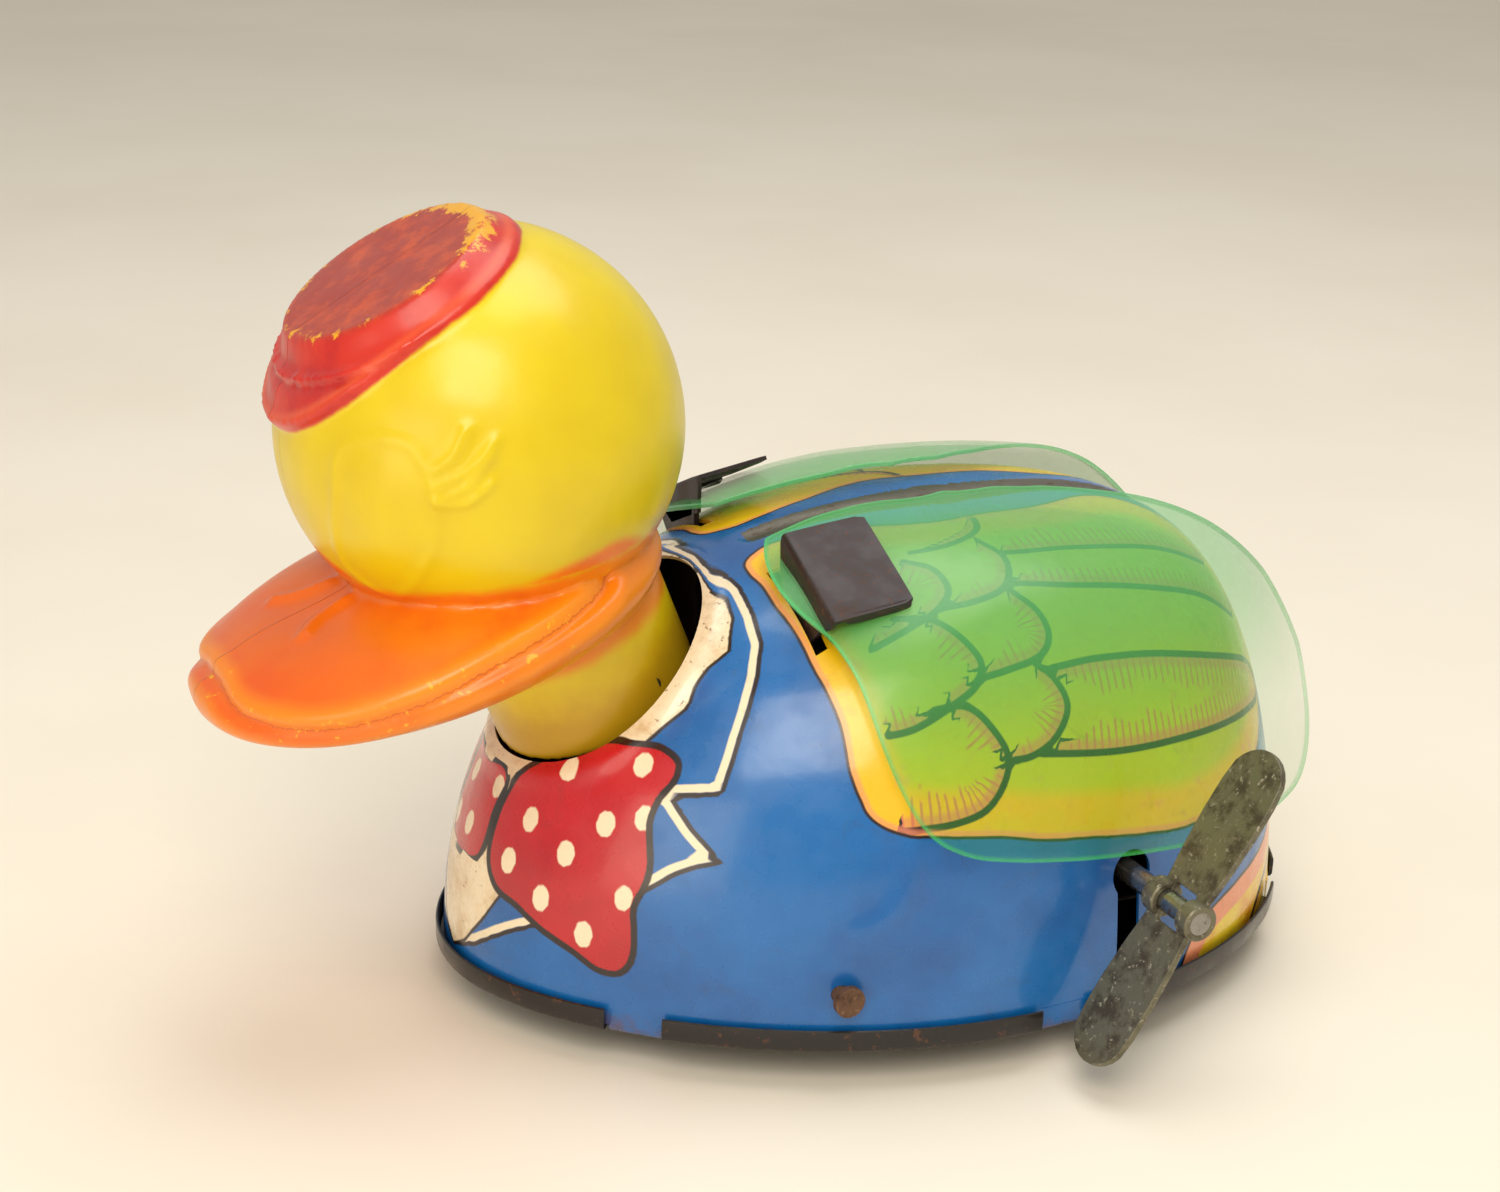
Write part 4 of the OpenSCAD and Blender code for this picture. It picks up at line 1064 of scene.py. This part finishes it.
def strip(name, profile, widths, thick):
    """A bent strip: profile is (x, z) with the sheet on its inner side; widths are (low y, high y)."""
    p = np.asarray(profile, float)
    d = np.gradient(p, axis=0)
    d /= np.linalg.norm(d, axis=1, keepdims=True)
    n = np.stack([d[:, 1], -d[:, 0]], -1)
    ease = 0.12
    # one section of the strip: share of the width, and depth below the top skin
    section = [(0.0, ease), (0.15, 0), (0.85, 0), (1.0, ease),
               (1.0, thick - ease), (0.85, thick), (0.15, thick), (0.0, thick - ease)]
    points = [(x + nx * k, lo + (hi - lo) * s, z + nz * k)
              for (x, z), (nx, nz), (lo, hi) in zip(p, n, widths) for s, k in section]
    count, last = len(section), (len(p) - 1) * len(section)
    faces = grid_faces(len(p), count, closed=True).tolist()
    faces += [list(range(count))[::-1], [last + k for k in range(count)]]
    return mesh_object(name, points, faces, [BY_SLOT["dark_tin"]])


def fold(x):
    """A quarter turn of sheet from level to straight down, starting at x."""
    return [(x + 0.7 * math.sin(a), 0.1 + 0.7 * math.cos(a)) for a in np.linspace(0, math.pi / 2, 6)]


def wing_lever(side):
    tilt = Matrix.Translation((0, 20 * MM, 55.1 * MM)) @ Matrix.Rotation(math.radians(-25.2), 4, "X")
    # top plate, front fold and the flap down to the stem, in the plate's own frame (x forward, y across, z up)
    path = [(12.05, 2.45), (13.2, 2.26), (17, 1.65), (21, 1.02)] + fold(22.3)
    path += [(PLATE_FRONT, -0.8), (PLATE_FRONT, -2.4), (PLATE_FRONT, -4.2)]
    widths = [(-7.4, 7.4), (-7.9, 7.9)] + [(-8, 8)] * 8 + [(-7.9, 7.9), (-7.0, 6.6), (-6.2, 4.4)]
    top = strip("clip_top", path, widths, 0.78)
    # a lip turned down along the outer edge of the plate
    lip = strip("clip_lip", [(6.6, 0.8)] + fold(7.3) + [(8.0, -0.3), (7.9, -0.7)],
                [(-20.8, -12.3)] * 8 + [(-20.4, -12.7)], 0.7)
    lip.data.transform(Matrix.Rotation(math.radians(90), 4, "Z"))
    pitch = Matrix.Identity(4)
    pitch[2][0], pitch[2][3] = -PLATE_PITCH, PLATE_PITCH * 22.3 * MM
    lip.data.transform(pitch)
    for part in (top, lip):
        part.data.transform(tilt)
    stem = [(9, 31.8), (22.8, 31.8), (23, 32.2), (23, 33.6), (20.5, 35.2), (20.5, 46.5), (24.6, 50.2),
            (13.6, 55.6), (13.2, 50), (12.4, 37.8), (9, 36.2)]
    stem += arc(*PIVOT_AT, 2.2, [math.radians(90 + 180 * k / 8) for k in range(1, 8)])
    bore = arc(*PIVOT_AT, 1.05, np.linspace(0, 2 * math.pi, 20, endpoint=False))
    stand_up = Matrix(((0, 0, 1, 0), (1, 0, 0, 0), (0, 1, 0, 0), (0, 0, 0, 1)))
    upright = Matrix.Translation((22.6 * MM, 0, 0)) @ stand_up
    web = plate("clip_stem", [stem, bore], 0.8, 0.1, upright, BY_SLOT["dark_tin"])
    lever = joined(f"wing_clip_{SIDES[side]}", [top, lip, web])
    if side < 0:
        lever.data.transform(Matrix.Scale(-1, 4, (0, 1, 0)))
        lever.data.flip_normals()
    return smooth(lever, 35)


# ---------------------------------------------------------------- winding key
KEY_Y, KEY_LEAN = 52.8, 122.5


def winding_key():
    outline = []
    waist = [(2.6, -4.2), (7, -4.7), (12, -5.0), (16.6, -4.96)]
    for side in (1, -1):
        outline += [(side * s, side * half) for s, half in waist]
        for k in range(1, 12):
            a = math.radians(-80 + 160 * k / 12)
            outline.append((side * (17.3 + 5 * math.cos(a)), side * 4.98 * math.sin(a)))
        outline += [(side * s, -side * half) for s, half in waist[::-1]]
    place = Matrix.Translation((SHAFT_AT[0] * MM, KEY_Y * MM, SHAFT_AT[1] * MM))
    place = place @ Matrix.Rotation(math.radians(-KEY_LEAN), 4, "Y")
    blades = plate("key_blades", [outline, rounded(5.2, 4.4, 0.5, 4)], 0.9, 0.16, place, BY_SLOT["key_tin"])
    parts = [blades]
    for y in (KEY_Y - 4.8, KEY_Y + 2.4):
        ring = [(1.52, y + 0.1), (1.52, y + 2.3), (1.7, y + 2.4), (2.2, y + 2.4), (2.38, y + 2.2), (2.42, y + 1.2),
                (2.38, y + 0.2), (2.2, y), (1.7, y)]
        parts.append(lathe("key_loop", ring, BY_SLOT["key_tin"], SHAFT_AT, 40))
    return smooth(joined("key_sheet", parts), 35)


# ---------------------------------------------------------------- everything onto its body
back = joined("printed_body", [pressed_back(), tabs()])
finish_piece(back, "frame", ["body_shell"])
finish_piece(base_pan(), "frame", ["base_plate"])
finish_piece(moulded_head(), "duck_head", ["head"])
for side, half in SIDES.items():
    finish_piece(wing(side), f"{half}_wing", [f"wing_{half}"])
    finish_piece(wing_lever(side), f"{half}_wing", [f"wing_lever_{half}"])
finish_piece(winding_key(), "winder", ["winding_key"])

for part in frame["record"]["subparts"]:
    node = frame["nodes"][part["node"]]
    if node.hide_render:
        continue
    for slot in node.material_slots:
        slot.material = BY_SLOT["rusty_steel" if part["node"] == "front_axle" else part["material_slot"]]

# ---------------------------------------------------------------- floor, light and camera
FLOOR_Z, FLOOR_REACH = -4.5, 1500
corners = [(x, y, FLOOR_Z) for y in (-FLOOR_REACH, FLOOR_REACH) for x in (-FLOOR_REACH, FLOOR_REACH)]
floor_mesh = mesh_object("floor", corners, [[0, 1, 3, 2]], [])
plain = Look("floor_paint", rough=0.55)
plain.done(plain.mix(plain.ramp(plain.noise(160, 5), 0.35, 0.7), linear(243, 236, 222), linear(238, 230, 214)),
           normal=plain.bump(plain.noise(9, 4), 0.1))
floor_mesh.data.materials.append(plain.material)
bpy.context.scene.view_settings.view_transform = "Standard"

world = bpy.data.worlds.new("studio")
bpy.context.scene.world = world
world.use_nodes = True
world.node_tree.nodes["Background"].inputs["Color"].default_value = linear(246, 240, 230)
world.node_tree.nodes["Background"].inputs["Strength"].default_value = 0.55

MIDDLE = Vector((18, 0, 40)) * MM


def area_light(name, from_mm, size_mm, power, colour):
    light = bpy.data.lights.new(name, "AREA")
    light.shape, light.size, light.energy = "SQUARE", size_mm * MM, power
    light.color = colour[:3]
    obj = bpy.data.objects.new(name, light)
    obj.location = Vector(from_mm) * MM
    obj.rotation_euler = (MIDDLE - obj.location).to_track_quat("-Z", "Y").to_euler()
    bpy.context.scene.collection.objects.link(obj)


area_light("key_light", (260, 420, 520), 380, 2.4, linear(255, 246, 230))
area_light("top_light", (-120, -60, 700), 500, 2.4, linear(250, 250, 248))
area_light("low_light", (420, 260, 90), 260, 0.5, linear(255, 240, 214))

THETA, CLIMB, ROLL = (math.radians(a) for a in (64, 20, 1.6))
AIM, DISTANCE = Vector((16.42, -8.98, 42.40)), 340.0
behind = Vector((math.cos(THETA) * math.cos(CLIMB), math.sin(THETA) * math.cos(CLIMB), math.sin(CLIMB)))
level = Vector((-math.sin(THETA), math.cos(THETA), 0))
upright = behind.cross(level)
right = level * math.cos(ROLL) + upright * math.sin(ROLL)
up = upright * math.cos(ROLL) - level * math.sin(ROLL)
camera_data = bpy.data.cameras.new("camera")
camera_data.sensor_width, camera_data.lens = 36.0, 60.0
camera_data.clip_start, camera_data.clip_end = 0.01, 20.0
camera = bpy.data.objects.new("camera", camera_data)
turn = Matrix((right, up, behind)).transposed().to_4x4()
camera.matrix_world = Matrix.Translation((AIM + behind * DISTANCE) * MM) @ turn
bpy.context.scene.collection.objects.link(camera)
bpy.context.scene.camera = camera
